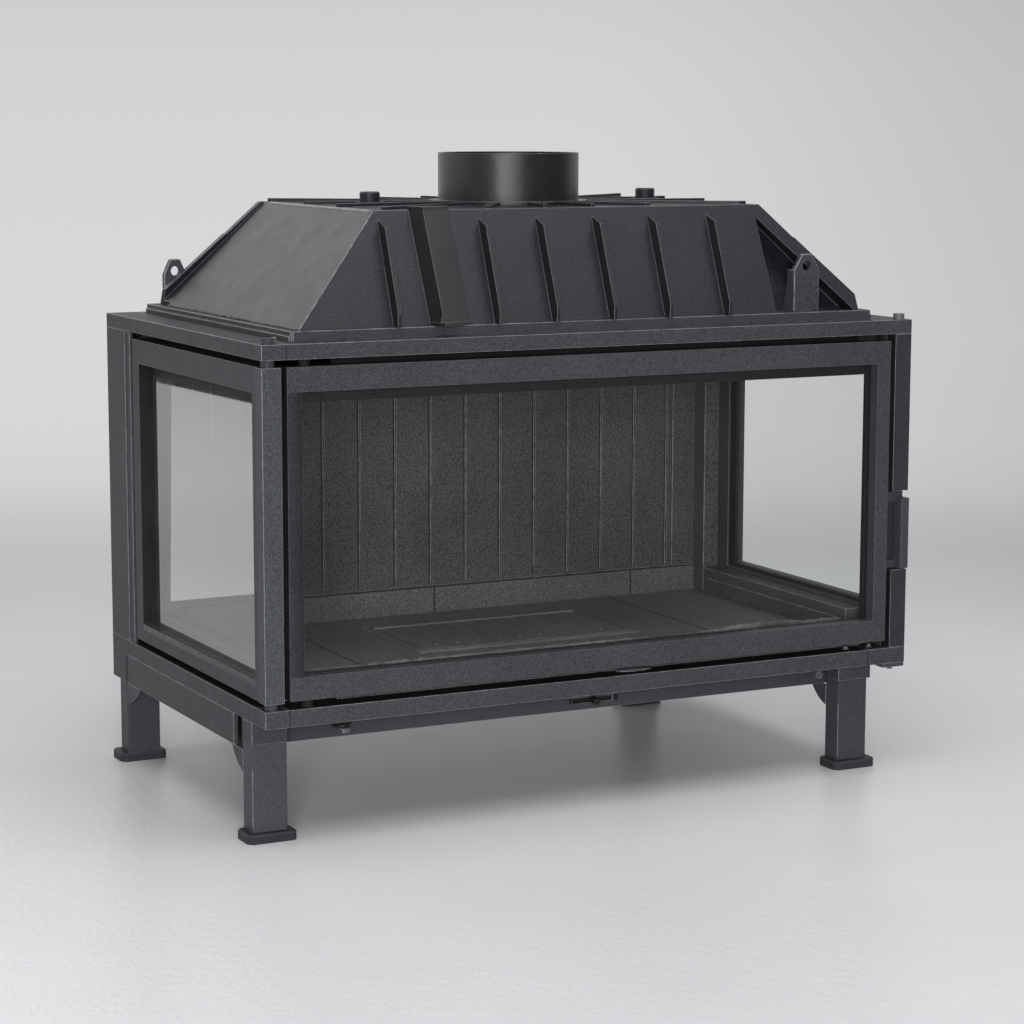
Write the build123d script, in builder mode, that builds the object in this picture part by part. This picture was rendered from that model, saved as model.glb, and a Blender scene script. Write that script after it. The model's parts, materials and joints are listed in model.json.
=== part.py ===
from build123d import *
import os

os.makedirs("parts", exist_ok=True)

# Three-sided fireplace insert, in millimetres.
# +X runs right along the front, +Y runs to the back, +Z is up.
# The origin is on the floor under the middle of the body.

# Body and the stack of heights, from the floor up
BODY_W = 990.0
BODY_D = 610.0
GROUND_GAP = 118.0
SKIRT_H = 42.5
BASE_T = 23.0
BAY_H = 452.5
DECK_T = 20.0
FLANGE_T = 13.5
HOOD_H = 148.5
COLLAR_H = 71.5

LEFT = -BODY_W / 2
RIGHT = BODY_W / 2
FRONT = -BODY_D / 2
BACK = BODY_D / 2
Z_BASE = GROUND_GAP + SKIRT_H
Z_BAY = Z_BASE + BASE_T
Z_DECK = Z_BAY + BAY_H
Z_FLANGE = Z_DECK + DECK_T
Z_HOOD = Z_FLANGE + FLANGE_T
Z_CROWN = Z_HOOD + HOOD_H
Z_MOUTH = Z_CROWN + COLLAR_H

# Clearances
PIVOT_PLAY = 0.05
SEAT_PLAY = 0.3
SLOT_PLAY = 0.5
LIFT_PLAY = 1.0

# Frame corner blocks
HINGE_BLOCK_W = 34.0
HINGE_BLOCK_D = 33.0
REAR_BLOCK_W = 46.0
REAR_BLOCK_D = 73.0
REAR_FOOT_BLOCK_D = 60.0
REAR_BLOCK_LIFT = 1.0
RIGHT_BLOCK_W = 63.0
RIGHT_BLOCK_D = 65.0

# Bottom tray: solid borders round a thin web
TRAY_WEB = 6.0
TRAY_BORDER_LEFT = 70.0
TRAY_BORDER_RIGHT = 90.0
TRAY_BORDER_FRONT = 92.0
TRAY_BORDER_REAR = 72.0

# Top ring opening
RING_BORDER_X = 84.0
RING_BORDER_Y = 56.0

# Skirt bands
BAND_T = 6.0
BAND_SETBACK = 95.0
BAND_FRONT_Y = FRONT + BAND_SETBACK
BAND_SIDE_LEAD = 115.0
BAND_SIDE_START = FRONT + BAND_SIDE_LEAD
BAND_SIDE_TAIL = 66.0
BAND_SIDE_END = BACK - BAND_SIDE_TAIL

# Legs and feet
LEG_W = 49.0
LEG_D = 33.0
LEG_WALL = 3.0
LEG_HEAD_H = 30.5
HEAD_STEP = 6.0
LEG_SETBACK_FRONT = 66.0
LEG_Y_FRONT = FRONT + LEG_SETBACK_FRONT
LEG_SETBACK_REAR = 47.0
LEG_Y_REAR = BACK - LEG_SETBACK_REAR
LEG_INSET_RIGHT = 55.0
LEG_X_RIGHT = RIGHT - LEG_INSET_RIGHT
LEG_INSET_REAR_RIGHT = 122.0
LEG_X_REAR_RIGHT = RIGHT - LEG_INSET_REAR_RIGHT
FOOT_W = 70.0
FOOT_D = 48.0
FOOT_T = 12.5
FOOT_ROUND = 10.0
FOOT_SHIFT_FRONT = -5.0
FOOT_SHIFT_REAR = 6.0
FOOT_BEVEL = 1.5
LEG_ROUND = 1.5
GUSSET_L_FRONT = 40.0
GUSSET_L_REAR = 52.0
GUSSET_H = 30.0
GUSSET_T = 5.0
GUSSET_WAIST = 0.6

# Side window frames and the corner post
POST_W = 27.0
POST_D = 22.0
SIDE_SETBACK_REAR = 106.0
SIDE_BACK = BACK - SIDE_SETBACK_REAR
SIDE_T = 25.0
SIDE_INSET = 2.0
DOOR_GAP_TOP = 9.5
DOOR_GAP_BOTTOM = 11.0
SIDE_GAP_BOTTOM = 9.0
SIDE_STILE_FRONT = 18.0
SIDE_STILE_REAR = 27.0
SIDE_RAIL_TOP = 34.0
SIDE_RAIL_BOTTOM = 25.5
RIGHT_STILE_REAR = 61.0
RIGHT_RAIL_BOTTOM = 50.0
PIVOT_INSET = 13.5
PIVOT_R = 6.0
BUSH_R = 9.0
PIVOT_REACH = 25.0
BOLT_HEAD_R = 8.0
BOLT_HEAD_H = 8.0

# Glass, retainers and seals
GLASS_T = 4.0
GLASS_LAP = 6.0
FRAME_LIP = 13.0
RETAINER_T = 5.0
RETAINER_TOP = 16.0
RETAINER_SIDE = 4.0
RETAINER_REAR = 13.0
ROPE_T = 8.0
ROPE_BEVEL = 2.0
SEAL_OUTSET = 2.0
SEAL_DROP = 12.0
GASKET_EDGE = 3.0
GASKET_W = 18.0
BEAD_DEPTH = 0.8
BEAD_W = 0.8
BEAD_PITCH = 2.4
BEAD_COUNT = 3

# Front door
DOOR_INSET = 34.5
DOOR_LEFT = LEFT + DOOR_INSET
DOOR_RIGHT = RIGHT - DOOR_INSET
DOOR_T = 27.0
DOOR_STILE_LEFT = 20.5
DOOR_STILE_RIGHT = 21.5
DOOR_RAIL_TOP = 32.0
DOOR_RAIL_BOTTOM = 31.0
DOOR_LIP = 18.0
DOOR_PIVOT_INSET = 30.0
DOOR_PIVOT_DEPTH = 15.0
DOOR_PIN_R = 5.0
DOOR_PIN_REACH = 22.0
DOOR_BUSH_R = 8.0
SPACER_W = 27.0
SPACER_D = 14.0
SPACER_INSET = 22.5
SPACER_SETBACK = 6.0

# Door handle, its shaft and the latch
SHAFT_INSET = 10.5
SHAFT_DEPTH = 13.0
SHAFT_R = 4.0
HUB_R = 5.5
ARM_T = 7.0
ARM_RISE_LOW = 115.5
ARM_RISE_HIGH = 211.5
ARM_Z = (Z_BAY + ARM_RISE_LOW, Z_BAY + ARM_RISE_HIGH)
ARM_H = (11.0, 14.0)
GRIP_W = 14.0
GRIP_T = 20.0
GRIP_PROUD = 5.0
SHAFT_TAIL = 10.0
SLOT_SKIN = 1.7
ARM_SETBACK = 3.0
GRIP_ROUND = 3.0
HOOK_H = 12.0
HOOK_RISE = 162.5
HOOK_Z = Z_BAY + HOOK_RISE
HOOK_L = 27.0
HOOK_X = (2.5, 6.5)
HOOK_TIP_X = -3.0
HOOK_TIP_T = 4.0
KEEPER_R = 2.5
KEEPER_AHEAD = (-1.0, 19.2)
KEEPER_EAR = 6.0
KEEPER_ROOM = 2.0
KEEPER_HALF = 3.5
COLUMN_W = 27.0
COLUMN_D = 22.0
NOTCH_MARGIN = 2.0
NOTCH_DEPTH = 18.0
JAMB_T = 4.0
JAMB_INSET = 54.0
JAMB_INNER = RIGHT - JAMB_INSET
JAMB_Y = FRONT + DOOR_T + ROPE_T
LINTEL_H = 38.0
LINTEL_T = 15.0
LINTEL_INSET = 115.0
LINTEL_LEFT = LEFT + LINTEL_INSET
LINTEL_WEB = 6.0
SILL_BAR_T = 8.0
SILL_BAR_H = 34.5

# Rear columns and sheets
REAR_COLUMN_WALL = 5.0
REAR_COLUMN_D = 96.0
REAR_COLUMN_FRONT = BACK - REAR_COLUMN_D
REAR_STEP_D = 77.0
REAR_STEP_Y = BACK - REAR_STEP_D
REAR_STEP = 1.5
SHEET_T = 4.0

# Firebox
HEARTH_T = 8.5
HEARTH_INSET = 55.0
HEARTH_X = RIGHT - HEARTH_INSET
HEARTH_FRONT = JAMB_Y + SILL_BAR_T
PLINTH_H = 39.0
PLINTH_SETBACK = 107.0
PLINTH_Y = BACK - PLINTH_SETBACK
PANEL_SETBACK = 9.0
PANEL_Y = PLINTH_Y + PANEL_SETBACK
PANEL_INSET = 40.0
PANEL_X = HEARTH_X - PANEL_INSET
PANEL_T = 14.0
LINING_DROP = 36.0
LINING_TOP = Z_DECK - LINING_DROP
LINING_GAP = 69.0
LINING_BACK = BACK - LINING_GAP
GROOVE_INSET = 10.0
GROOVE_START = PANEL_X - GROOVE_INSET
GROOVE_PITCH = 58.8
GROOVE_W = 5.0
GROOVE_DEPTH = 4.0
GROOVE_COUNT = 14
GROOVE_FOOT = 4.0
INFILL_SETBACK = 5.0
INFILL_Y = PLINTH_Y + INFILL_SETBACK
COLUMN_INSET = 29.0
COLUMN_OUT_X = RIGHT - COLUMN_INSET
COLUMN_SETBACK = 134.0
COLUMN_Y = BACK - COLUMN_SETBACK
WALL_RISE = 31.5
WALL_TOP = Z_BAY + WALL_RISE
WALL_SETBACK = 55.0
WALL_FRONT = FRONT + WALL_SETBACK
SILL_H = 16.0
SILL_SETBACK = 72.0
SILL_FRONT = FRONT + SILL_SETBACK
SILL_INSET = 27.5
SILL_OUT = RIGHT - SILL_INSET
GUARD_SETBACK = 75.0
GUARD_Y = FRONT + GUARD_SETBACK
GUARD_T = 14.0
GUARD_ROUND = 5.0
SEAM_INSET = 160.0
SEAM_X = HEARTH_X - SEAM_INSET
SEAM_W = 1.0
PLINTH_SEAMS = (-19.0, 323.0)
BAFFLE_T = 10.0
BAFFLE_SETBACK = 185.0
BAFFLE_FRONT = FRONT + BAFFLE_SETBACK
BAFFLE_INSET = 14.0
BAFFLE_X = COLUMN_OUT_X - BAFFLE_INSET

# Grate, ash box and pan
GRATE_W = 350.0
GRATE_D = 190.0
GRATE_X = 5.0
GRATE_Y = 31.0
GRATE_T = 10.0
GRATE_LEDGE = 15.0
SLOT_COUNT = 10
SLOT_W = 5.0
SLOT_MARGIN = 24.0
PEG_R = 2.5
PEG_H = 2.0
BOX_DROP = 50.0
BOX_WALL = 2.0
BOX_MARGIN = 5.0
PAN_WALL = 1.5
PAN_H = 38.0

# Hood
HOOD_Y = -3.0
DECK_MARGIN_W = 101.0
FLANGE_W = BODY_W - DECK_MARGIN_W
DECK_MARGIN_D = 56.0
FLANGE_D = BODY_D - DECK_MARGIN_D
FLANGE_LEDGE = 2.0
FLANGE_LEDGE_H = 7.0
HOOD_MARGIN_W = 27.0
HOOD_BASE_W = FLANGE_W - HOOD_MARGIN_W
HOOD_MARGIN_D = 16.0
HOOD_BASE_D = FLANGE_D - HOOD_MARGIN_D
HOOD_TOP_W = 590.0
HOOD_TOP_D = 400.0
HOOD_WALL = 7.0
CROWN_T = 8.0
CORNER_DEPTH = 46.0
CORNER_INSET = 5.5
RIM_T = 12.0
RIM_W = 20.0
RIM_PROUD_TOP = 5.0
RIM_PROUD_STEP = (7.0, 9.0)
RIM_PROUD_BASE = 15.0
RIM_STEP_DROP = 46.0
RIM_STEP_Z = Z_CROWN - RIM_STEP_DROP
RIM_HEEL = 22.0
FIN_X = (-294.5, -147.5, -61.5, 25.5, 112.5, 206.5)
FIN_LEAN = 6.0
FIN_T = 5.0
FIN_DEPTH = 21.0
FIN_HEEL = 18.0
FIN_TOP_GAP = 12.0
FIN_BEVEL = 9.0
WEDGE_X = (-244.0, -234.0, -185.0)
WEDGE_DEPTH = 24.0
CROWN_RIB_COUNT = 16
CROWN_RIB_W = 6.0
CROWN_RIB_H = 5.0
CROWN_RIB_REACH = 350.0
CAP_INSET = 76.0
CAP_X = HOOD_TOP_W / 2 - CAP_INSET
CAP_Y = -20.0
CAP_R = 14.0
CAP_H = 14.0
CAP_BEVEL = 1.5
MITRE_GAP = 4.0

# Flue collar
COLLAR_Y = -12.0
COLLAR_R = 100.0
COLLAR_WALL = 5.0
COLLAR_FOOT_R = 113.0
COLLAR_FOOT_T = 5.0

# Lifting lugs
LUG_T = 9.0
LUG_FRONT_W = 42.0
LUG_FRONT_H = 80.5
LUG_FRONT_SHIFT = 18.5
LUG_FRONT_SETBACK = 10.0
LUG_FRONT_X = (HOOD_BASE_W + HOOD_TOP_W) / 4 - LUG_FRONT_SHIFT
LUG_FRONT_Y = HOOD_Y - HOOD_BASE_D / 2 + LUG_FRONT_SETBACK
LUG_REAR_W = 35.0
LUG_REAR_H = 64.0
LUG_REAR_INSET = 29.5
LUG_REAR_GAP = 1.0
LUG_REAR_X = LUG_REAR_INSET - HOOD_BASE_W / 2
LUG_REAR_Y = HOOD_Y + HOOD_BASE_D / 2 + LUG_REAR_GAP
LUG_HOLE_R = 7.0
LUG_HOLE_DROP = 17.0
LUG_CROWN = 15.0
LUG_SHOULDER = 22.0
LUG_GUSSET_L = 34.0
LUG_GUSSET_TOP = 10.0

# Air controls
KNOB_INSET = 146.0
KNOB_X = LEFT + KNOB_INSET
KNOB_RISE = 11.0
KNOB_Z = GROUND_GAP + KNOB_RISE
KNOB_W = 28.0
KNOB_H = 7.0
KNOB_L = 10.0
KNOB_BOSS_R = 5.5
KNOB_BOSS_L = 4.0
KNOB_DISC_R = 10.0
GRIP_GAP = 3.0
STUD_ROUND = 2.0
STUD_R = 5.0
STUD_L = 12.0
STEM_R = 3.0
SLIDER_X = 34.0
SLIDER_RISE = 13.0
SLIDER_Z = GROUND_GAP + SLIDER_RISE
SLIDER_TRAVEL = 28.0
SHUTTER_T = 3.0
SHUTTER_H = 18.0
SHUTTER_L = 120.0

# Clip and bolts
CLIP_W = 36.0
CLIP_D = 20.0
CLIP_T = 6.0
CLIP_INSET = 0.5
CLIP_HEAD_R = 4.0
CLIP_HEAD_H = 4.0
BAND_BOLT_INSET = 86.0
BAND_BOLT_X = RIGHT - BAND_BOLT_INSET
BAND_BOLT_RISE = 14.0
BAND_BOLT_Z = GROUND_GAP + BAND_BOLT_RISE
BAND_BOLT_R = 6.0
BAND_BOLT_H = 5.0


def plate(x, y, z, mode=Mode.ADD):
    """Add or cut a straight plate that spans the pairs x, y and z."""
    with BuildSketch(Plane.XY.offset(z[0])) as outline:
        with Locations(((x[0] + x[1]) / 2, (y[0] + y[1]) / 2)):
            Rectangle(x[1] - x[0], y[1] - y[0])
    extrude(outline.sketch, amount=z[1] - z[0], mode=mode)


def rod(x, y, z, radius, mode=Mode.ADD):
    """Add or cut an upright round rod that spans the pair z."""
    with BuildSketch(Plane.XY.offset(z[0])) as outline:
        with Locations((x, y)):
            Circle(radius)
    extrude(outline.sketch, amount=z[1] - z[0], mode=mode)


def across(x, z, y, radius, mode=Mode.ADD):
    """Add or cut a round rod that runs from front to back over the pair y."""
    with BuildSketch(Plane.XZ.offset(-y[1])) as outline:
        with Locations((x, z)):
            Circle(radius)
    extrude(outline.sketch, amount=y[1] - y[0], mode=mode)


# Bottom tray
web_x = (LEFT + TRAY_BORDER_LEFT, RIGHT - TRAY_BORDER_RIGHT)
web_y = (FRONT + TRAY_BORDER_FRONT, BACK - TRAY_BORDER_REAR)
grate_x = (GRATE_X - GRATE_W / 2, GRATE_X + GRATE_W / 2)
grate_y = (GRATE_Y - GRATE_D / 2, GRATE_Y + GRATE_D / 2)
drop_x = (grate_x[0] + GRATE_LEDGE, grate_x[1] - GRATE_LEDGE)
drop_y = (grate_y[0] + GRATE_LEDGE, grate_y[1] - GRATE_LEDGE)

post_x = (LEFT, LEFT + POST_W)
post_y = (FRONT, FRONT + POST_D)
pivot_x = LEFT + PIVOT_INSET
pivot_y = FRONT + PIVOT_INSET
side_z = (Z_BAY + SIDE_GAP_BOTTOM, Z_DECK - DOOR_GAP_TOP)
door_z = (Z_BAY + DOOR_GAP_BOTTOM, Z_DECK - DOOR_GAP_TOP)
hinge_x = DOOR_LEFT + DOOR_PIVOT_INSET
hinge_y = FRONT + DOOR_PIVOT_DEPTH
shaft_x = DOOR_RIGHT - SHAFT_INSET
shaft_y = FRONT + SHAFT_DEPTH
shaft_z = (ARM_Z[0] - SHAFT_TAIL, ARM_Z[1] + ARM_H[1] + SHAFT_TAIL)
bay_z = (Z_BAY, Z_DECK)
band_y = (BAND_FRONT_Y, BAND_FRONT_Y + BAND_T)
front_band_x = (LEFT + BAND_T, LEG_X_RIGHT + LEG_W / 2)
rear_block_z = GROUND_GAP + REAR_BLOCK_LIFT
head_z = Z_BASE - LEG_HEAD_H
Z_HEARTH = Z_BAY + HEARTH_T

# Places on the front door
door_x = (DOOR_LEFT, DOOR_RIGHT)
door_y = (FRONT, FRONT + DOOR_T)
door_open_x = (DOOR_LEFT + DOOR_STILE_LEFT, DOOR_RIGHT - DOOR_STILE_RIGHT)
door_open_z = (door_z[0] + DOOR_RAIL_BOTTOM, door_z[1] - DOOR_RAIL_TOP)
door_lap_x = (door_open_x[0] - GLASS_LAP, door_open_x[1] + GLASS_LAP)
door_lap_z = (door_open_z[0] - GLASS_LAP, door_open_z[1] + GLASS_LAP)
door_pane_x = (door_lap_x[0] + SLOT_PLAY, door_lap_x[1] - SLOT_PLAY)
door_pane_z = (door_lap_z[0] + SLOT_PLAY, door_lap_z[1] - SLOT_PLAY)
seal_x = (door_open_x[0] - SEAL_OUTSET, door_open_x[1] + SEAL_OUTSET)
seal_y = (door_y[1], JAMB_Y - SEAT_PLAY)
seal_z = (door_open_z[0] - SEAL_DROP, door_open_z[1] + SEAL_DROP)
grip_x = (RIGHT - GRIP_W, RIGHT)
grip_y = (FRONT - GRIP_PROUD, FRONT - GRIP_PROUD + GRIP_T)
grip_z = (ARM_Z[0], ARM_Z[1] + ARM_H[0] / 2)
notch_z = (ARM_Z[0] - NOTCH_MARGIN, ARM_Z[1] + ARM_H[1] + NOTCH_MARGIN)
keeper_x = shaft_x + KEEPER_AHEAD[0]
keeper_y = shaft_y + KEEPER_AHEAD[1]

with BuildPart() as bottom_frame:
    plate((LEFT, RIGHT), (FRONT, BACK), (Z_BASE, Z_BAY))
    plate(web_x, web_y, (Z_BASE, Z_BAY - TRAY_WEB), Mode.SUBTRACT)
    plate(drop_x, drop_y, (Z_BASE, Z_BAY), Mode.SUBTRACT)
    plate((LEFT, LEFT + HINGE_BLOCK_W), (FRONT, FRONT + HINGE_BLOCK_D), (Z_BASE, Z_BAY), Mode.SUBTRACT)
    plate((RIGHT - RIGHT_BLOCK_W, RIGHT), (FRONT, FRONT + RIGHT_BLOCK_D), (Z_BASE, Z_BAY), Mode.SUBTRACT)
    for side in ((LEFT, LEFT + REAR_BLOCK_W), (RIGHT - REAR_BLOCK_W, RIGHT)):
        plate(side, (BACK - REAR_BLOCK_D, BACK), (Z_BASE, Z_BAY), Mode.SUBTRACT)
    rod(hinge_x, hinge_y, (Z_BASE, Z_BAY), DOOR_PIN_R + PIVOT_PLAY, Mode.SUBTRACT)
bottom_frame.part.label = "bottom_frame"
export_step(bottom_frame.part, "parts/bottom_frame.step")

# Top ring, open under the hood
with BuildPart() as top_frame:
    plate((LEFT, RIGHT), (FRONT, BACK), (Z_DECK, Z_FLANGE))
    plate((LEFT + RING_BORDER_X, RIGHT - RING_BORDER_X), (FRONT + RING_BORDER_Y, BACK - RING_BORDER_Y),
          (Z_DECK, Z_FLANGE), Mode.SUBTRACT)
    plate((LEFT, LEFT + HINGE_BLOCK_W), (FRONT, FRONT + HINGE_BLOCK_D), (Z_DECK, Z_FLANGE), Mode.SUBTRACT)
    for side in ((LEFT, LEFT + REAR_BLOCK_W), (RIGHT - REAR_BLOCK_W, RIGHT)):
        plate(side, (BACK - REAR_BLOCK_D, BACK), (Z_DECK, Z_FLANGE), Mode.SUBTRACT)
    rod(hinge_x, hinge_y, (Z_DECK, Z_DECK + DECK_T / 2), DOOR_PIN_R + PIVOT_PLAY, Mode.SUBTRACT)
top_frame.part.label = "top_frame"
export_step(top_frame.part, "parts/top_frame.step")

# Hinge corner blocks, bored for the post's pivot bolts
with BuildPart() as hinge_blocks:
    for low, high in ((Z_BASE, Z_BAY), (Z_DECK, Z_FLANGE)):
        plate((LEFT, LEFT + HINGE_BLOCK_W), (FRONT, FRONT + HINGE_BLOCK_D), (low, high))
        rod(pivot_x, pivot_y, (low, high), PIVOT_R + PIVOT_PLAY, Mode.SUBTRACT)
hinge_blocks.part.label = "hinge_blocks"
export_step(hinge_blocks.part, "parts/hinge_blocks.step")

# Rear corner blocks, the lower pair reaching down to the skirt's lower edge
with BuildPart() as rear_corner_blocks:
    for side in ((LEFT, LEFT + REAR_BLOCK_W), (RIGHT - REAR_BLOCK_W, RIGHT)):
        plate(side, (BACK - REAR_BLOCK_D, BACK), (Z_DECK, Z_FLANGE))
        plate(side, (BACK - REAR_BLOCK_D, BACK), (Z_BASE, Z_BAY))
        plate(side, (BACK - REAR_FOOT_BLOCK_D, BACK), (rear_block_z, Z_BASE))
rear_corner_blocks.part.label = "rear_corner_blocks"
export_step(rear_corner_blocks.part, "parts/rear_corner_blocks.step")

with BuildPart() as right_corner_block:
    plate((RIGHT - RIGHT_BLOCK_W, RIGHT), (FRONT, FRONT + RIGHT_BLOCK_D), (Z_BASE, Z_BAY))
right_corner_block.part.label = "right_corner_block"
export_step(right_corner_block.part, "parts/right_corner_block.step")

# Skirt bands; the front one has a hole for the air knob and a slot for the air slider
band_z = (GROUND_GAP, Z_BASE)
with BuildPart() as front_band:
    plate(front_band_x, band_y, band_z)
    across(KNOB_X, KNOB_Z, band_y, STEM_R + PIVOT_PLAY, Mode.SUBTRACT)
    slider_reach = SLIDER_TRAVEL + STEM_R + SLOT_PLAY
    plate((SLIDER_X - slider_reach, SLIDER_X + slider_reach), band_y,
          (SLIDER_Z - STEM_R - SLOT_PLAY, SLIDER_Z + STEM_R + SLOT_PLAY), Mode.SUBTRACT)
front_band.part.label = "front_band"
export_step(front_band.part, "parts/front_band.step")

with BuildPart() as side_bands:
    for side in ((LEFT, LEFT + BAND_T), (RIGHT - BAND_T, RIGHT)):
        plate(side, (BAND_SIDE_START, BAND_SIDE_END), band_z)
side_bands.part.label = "side_bands"
export_step(side_bands.part, "parts/side_bands.step")

with BuildPart() as rear_band:
    plate((LEFT + REAR_BLOCK_W, RIGHT - REAR_BLOCK_W), (BACK - BAND_T, BACK), band_z)
rear_band.part.label = "rear_band"
export_step(rear_band.part, "parts/rear_band.step")

# Air controls: a wing knob that turns its disc, and a stud that slides its shutter, both behind the band
shutter_y = (band_y[1] + SEAT_PLAY, band_y[1] + SEAT_PLAY + SHUTTER_T)
grip_back = band_y[0] - GRIP_GAP
with BuildPart() as air_knob:
    wing_y = (grip_back - KNOB_BOSS_L - KNOB_L, grip_back - KNOB_BOSS_L)
    plate((KNOB_X - KNOB_W / 2, KNOB_X + KNOB_W / 2), wing_y, (KNOB_Z - KNOB_H / 2, KNOB_Z + KNOB_H / 2))
    fillet(air_knob.edges().filter_by(Axis.Y), KNOB_H / 3)
    chamfer(air_knob.faces().sort_by(Axis.Y)[0].edges(), KNOB_H / 6)
    across(KNOB_X, KNOB_Z, (grip_back - KNOB_BOSS_L, grip_back), KNOB_BOSS_R)
    across(KNOB_X, KNOB_Z, (grip_back, shutter_y[0]), STEM_R)
    across(KNOB_X, KNOB_Z, shutter_y, KNOB_DISC_R)
air_knob.part.label = "air_knob"
export_step(air_knob.part, "parts/air_knob.step")

with BuildPart() as air_slider:
    across(SLIDER_X, SLIDER_Z, (grip_back - STUD_L, grip_back), STUD_R)
    fillet(air_slider.faces().sort_by(Axis.Y)[0].edges(), STUD_ROUND)
    across(SLIDER_X, SLIDER_Z, (grip_back, shutter_y[0]), STEM_R)
    plate((SLIDER_X - SHUTTER_L / 2, SLIDER_X + SHUTTER_L / 2), shutter_y,
          (SLIDER_Z - SHUTTER_H / 2, SLIDER_Z + SHUTTER_H / 2))
air_slider.part.label = "air_slider"
export_step(air_slider.part, "parts/air_slider.step")

# Legs: square tubes below their heads, each on a rounded foot plate
legs = (
    ("leg_front_left", LEFT + LEG_W / 2, LEG_Y_FRONT, head_z, FOOT_SHIFT_FRONT),
    ("leg_front_right", LEG_X_RIGHT, LEG_Y_FRONT, head_z, FOOT_SHIFT_FRONT),
    ("leg_rear_left", LEFT + LEG_W / 2, LEG_Y_REAR, rear_block_z, FOOT_SHIFT_REAR),
    ("leg_rear_right", LEG_X_REAR_RIGHT, LEG_Y_REAR, head_z, FOOT_SHIFT_REAR),
)
for name, x, y, top, shift in legs:
    with BuildPart() as leg:
        with BuildSketch(Plane.XY.offset(FOOT_T)) as section:
            with Locations((x, y)):
                RectangleRounded(LEG_W, LEG_D, LEG_ROUND)
                Rectangle(LEG_W - 2 * LEG_WALL, LEG_D - 2 * LEG_WALL, mode=Mode.SUBTRACT)
        extrude(amount=top - FOOT_T)
    leg.part.label = name
    export_step(leg.part, f"parts/{name}.step")

with BuildPart() as foot_plates:
    with BuildSketch() as soles:
        for name, x, y, top, shift in legs:
            with Locations((x, y + shift)):
                RectangleRounded(FOOT_W, FOOT_D, FOOT_ROUND)
    extrude(amount=FOOT_T)
    chamfer(foot_plates.faces().group_by(Axis.Z)[-1].edges(), FOOT_BEVEL)
foot_plates.part.label = "foot_plates"
export_step(foot_plates.part, "parts/foot_plates.step")

# Leg heads under the bottom frame, and the curved gussets beside the legs
with BuildPart() as leg_brackets:
    for name, x, y, top, shift in legs:
        front = y < 0
        if top == head_z:
            step = HEAD_STEP if x > 0 else 0.0
            plate((x - LEG_W / 2, x + LEG_W / 2 + step), (y - LEG_D / 2, y + LEG_D / 2), (head_z, Z_BASE))
        away = 1.0 if front else -1.0
        length = GUSSET_L_FRONT if front else GUSSET_L_REAR
        root = y + away * LEG_D / 2
        with BuildSketch(Plane.YZ.offset(x - LEG_W / 2)) as rib:
            with BuildLine():
                Polyline((root, GROUND_GAP - GUSSET_H), (root, GROUND_GAP), (root + away * length, GROUND_GAP))
                ThreePointArc(
                    (root + away * length, GROUND_GAP),
                    (root + away * length * GUSSET_WAIST, GROUND_GAP - GUSSET_H * GUSSET_WAIST),
                    (root, GROUND_GAP - GUSSET_H),
                )
            make_face()
        extrude(amount=GUSSET_T)
leg_brackets.part.label = "leg_brackets"
export_step(leg_brackets.part, "parts/leg_brackets.step")

# Rear columns: folded channels with a shallow step beside the side windows
for name, sign in (("rear_column_left", -1.0), ("rear_column_right", 1.0)):
    outer, inner = sign * RIGHT, sign * (RIGHT - REAR_COLUMN_WALL)
    with BuildPart() as rear_column:
        with BuildSketch(Plane.XY.offset(Z_BAY)) as section:
            with BuildLine():
                Polyline(
                    (outer, BACK),
                    (sign * (RIGHT - REAR_BLOCK_W), BACK),
                    (sign * (RIGHT - REAR_BLOCK_W), BACK - REAR_COLUMN_WALL),
                    (inner, BACK - REAR_COLUMN_WALL),
                    (inner, REAR_STEP_Y + REAR_STEP),
                    (inner - sign * REAR_STEP, REAR_STEP_Y + REAR_STEP),
                    (inner - sign * REAR_STEP, REAR_COLUMN_FRONT),
                    (outer - sign * REAR_STEP, REAR_COLUMN_FRONT),
                    (outer - sign * REAR_STEP, REAR_STEP_Y),
                    (outer, REAR_STEP_Y),
                    close=True,
                )
            make_face()
        extrude(amount=BAY_H)
    rear_column.part.label = name
    export_step(rear_column.part, f"parts/{name}.step")

with BuildPart() as outer_back:
    plate((LEFT + REAR_BLOCK_W, RIGHT - REAR_BLOCK_W), (BACK - SHEET_T, BACK), bay_z)
outer_back.part.label = "outer_back"
export_step(outer_back.part, "parts/outer_back.step")

# Right column, with the notch that the handle's arms pass through
with BuildPart() as right_column:
    plate((RIGHT - COLUMN_W, RIGHT), (FRONT, FRONT + COLUMN_D), bay_z)
    plate((RIGHT - COLUMN_W, RIGHT), (FRONT, FRONT + NOTCH_DEPTH), notch_z, Mode.SUBTRACT)
right_column.part.label = "right_column"
export_step(right_column.part, "parts/right_column.step")

# Corner post, bored at both ends for its pivots
with BuildPart() as corner_post:
    plate(post_x, post_y, side_z)
    for low, high in ((side_z[0], side_z[0] + PIVOT_REACH), (side_z[1] - PIVOT_REACH, side_z[1])):
        rod(pivot_x, pivot_y, (low, high), PIVOT_R + PIVOT_PLAY, Mode.SUBTRACT)
corner_post.part.label = "corner_post"
export_step(corner_post.part, "parts/corner_post.step")

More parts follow.
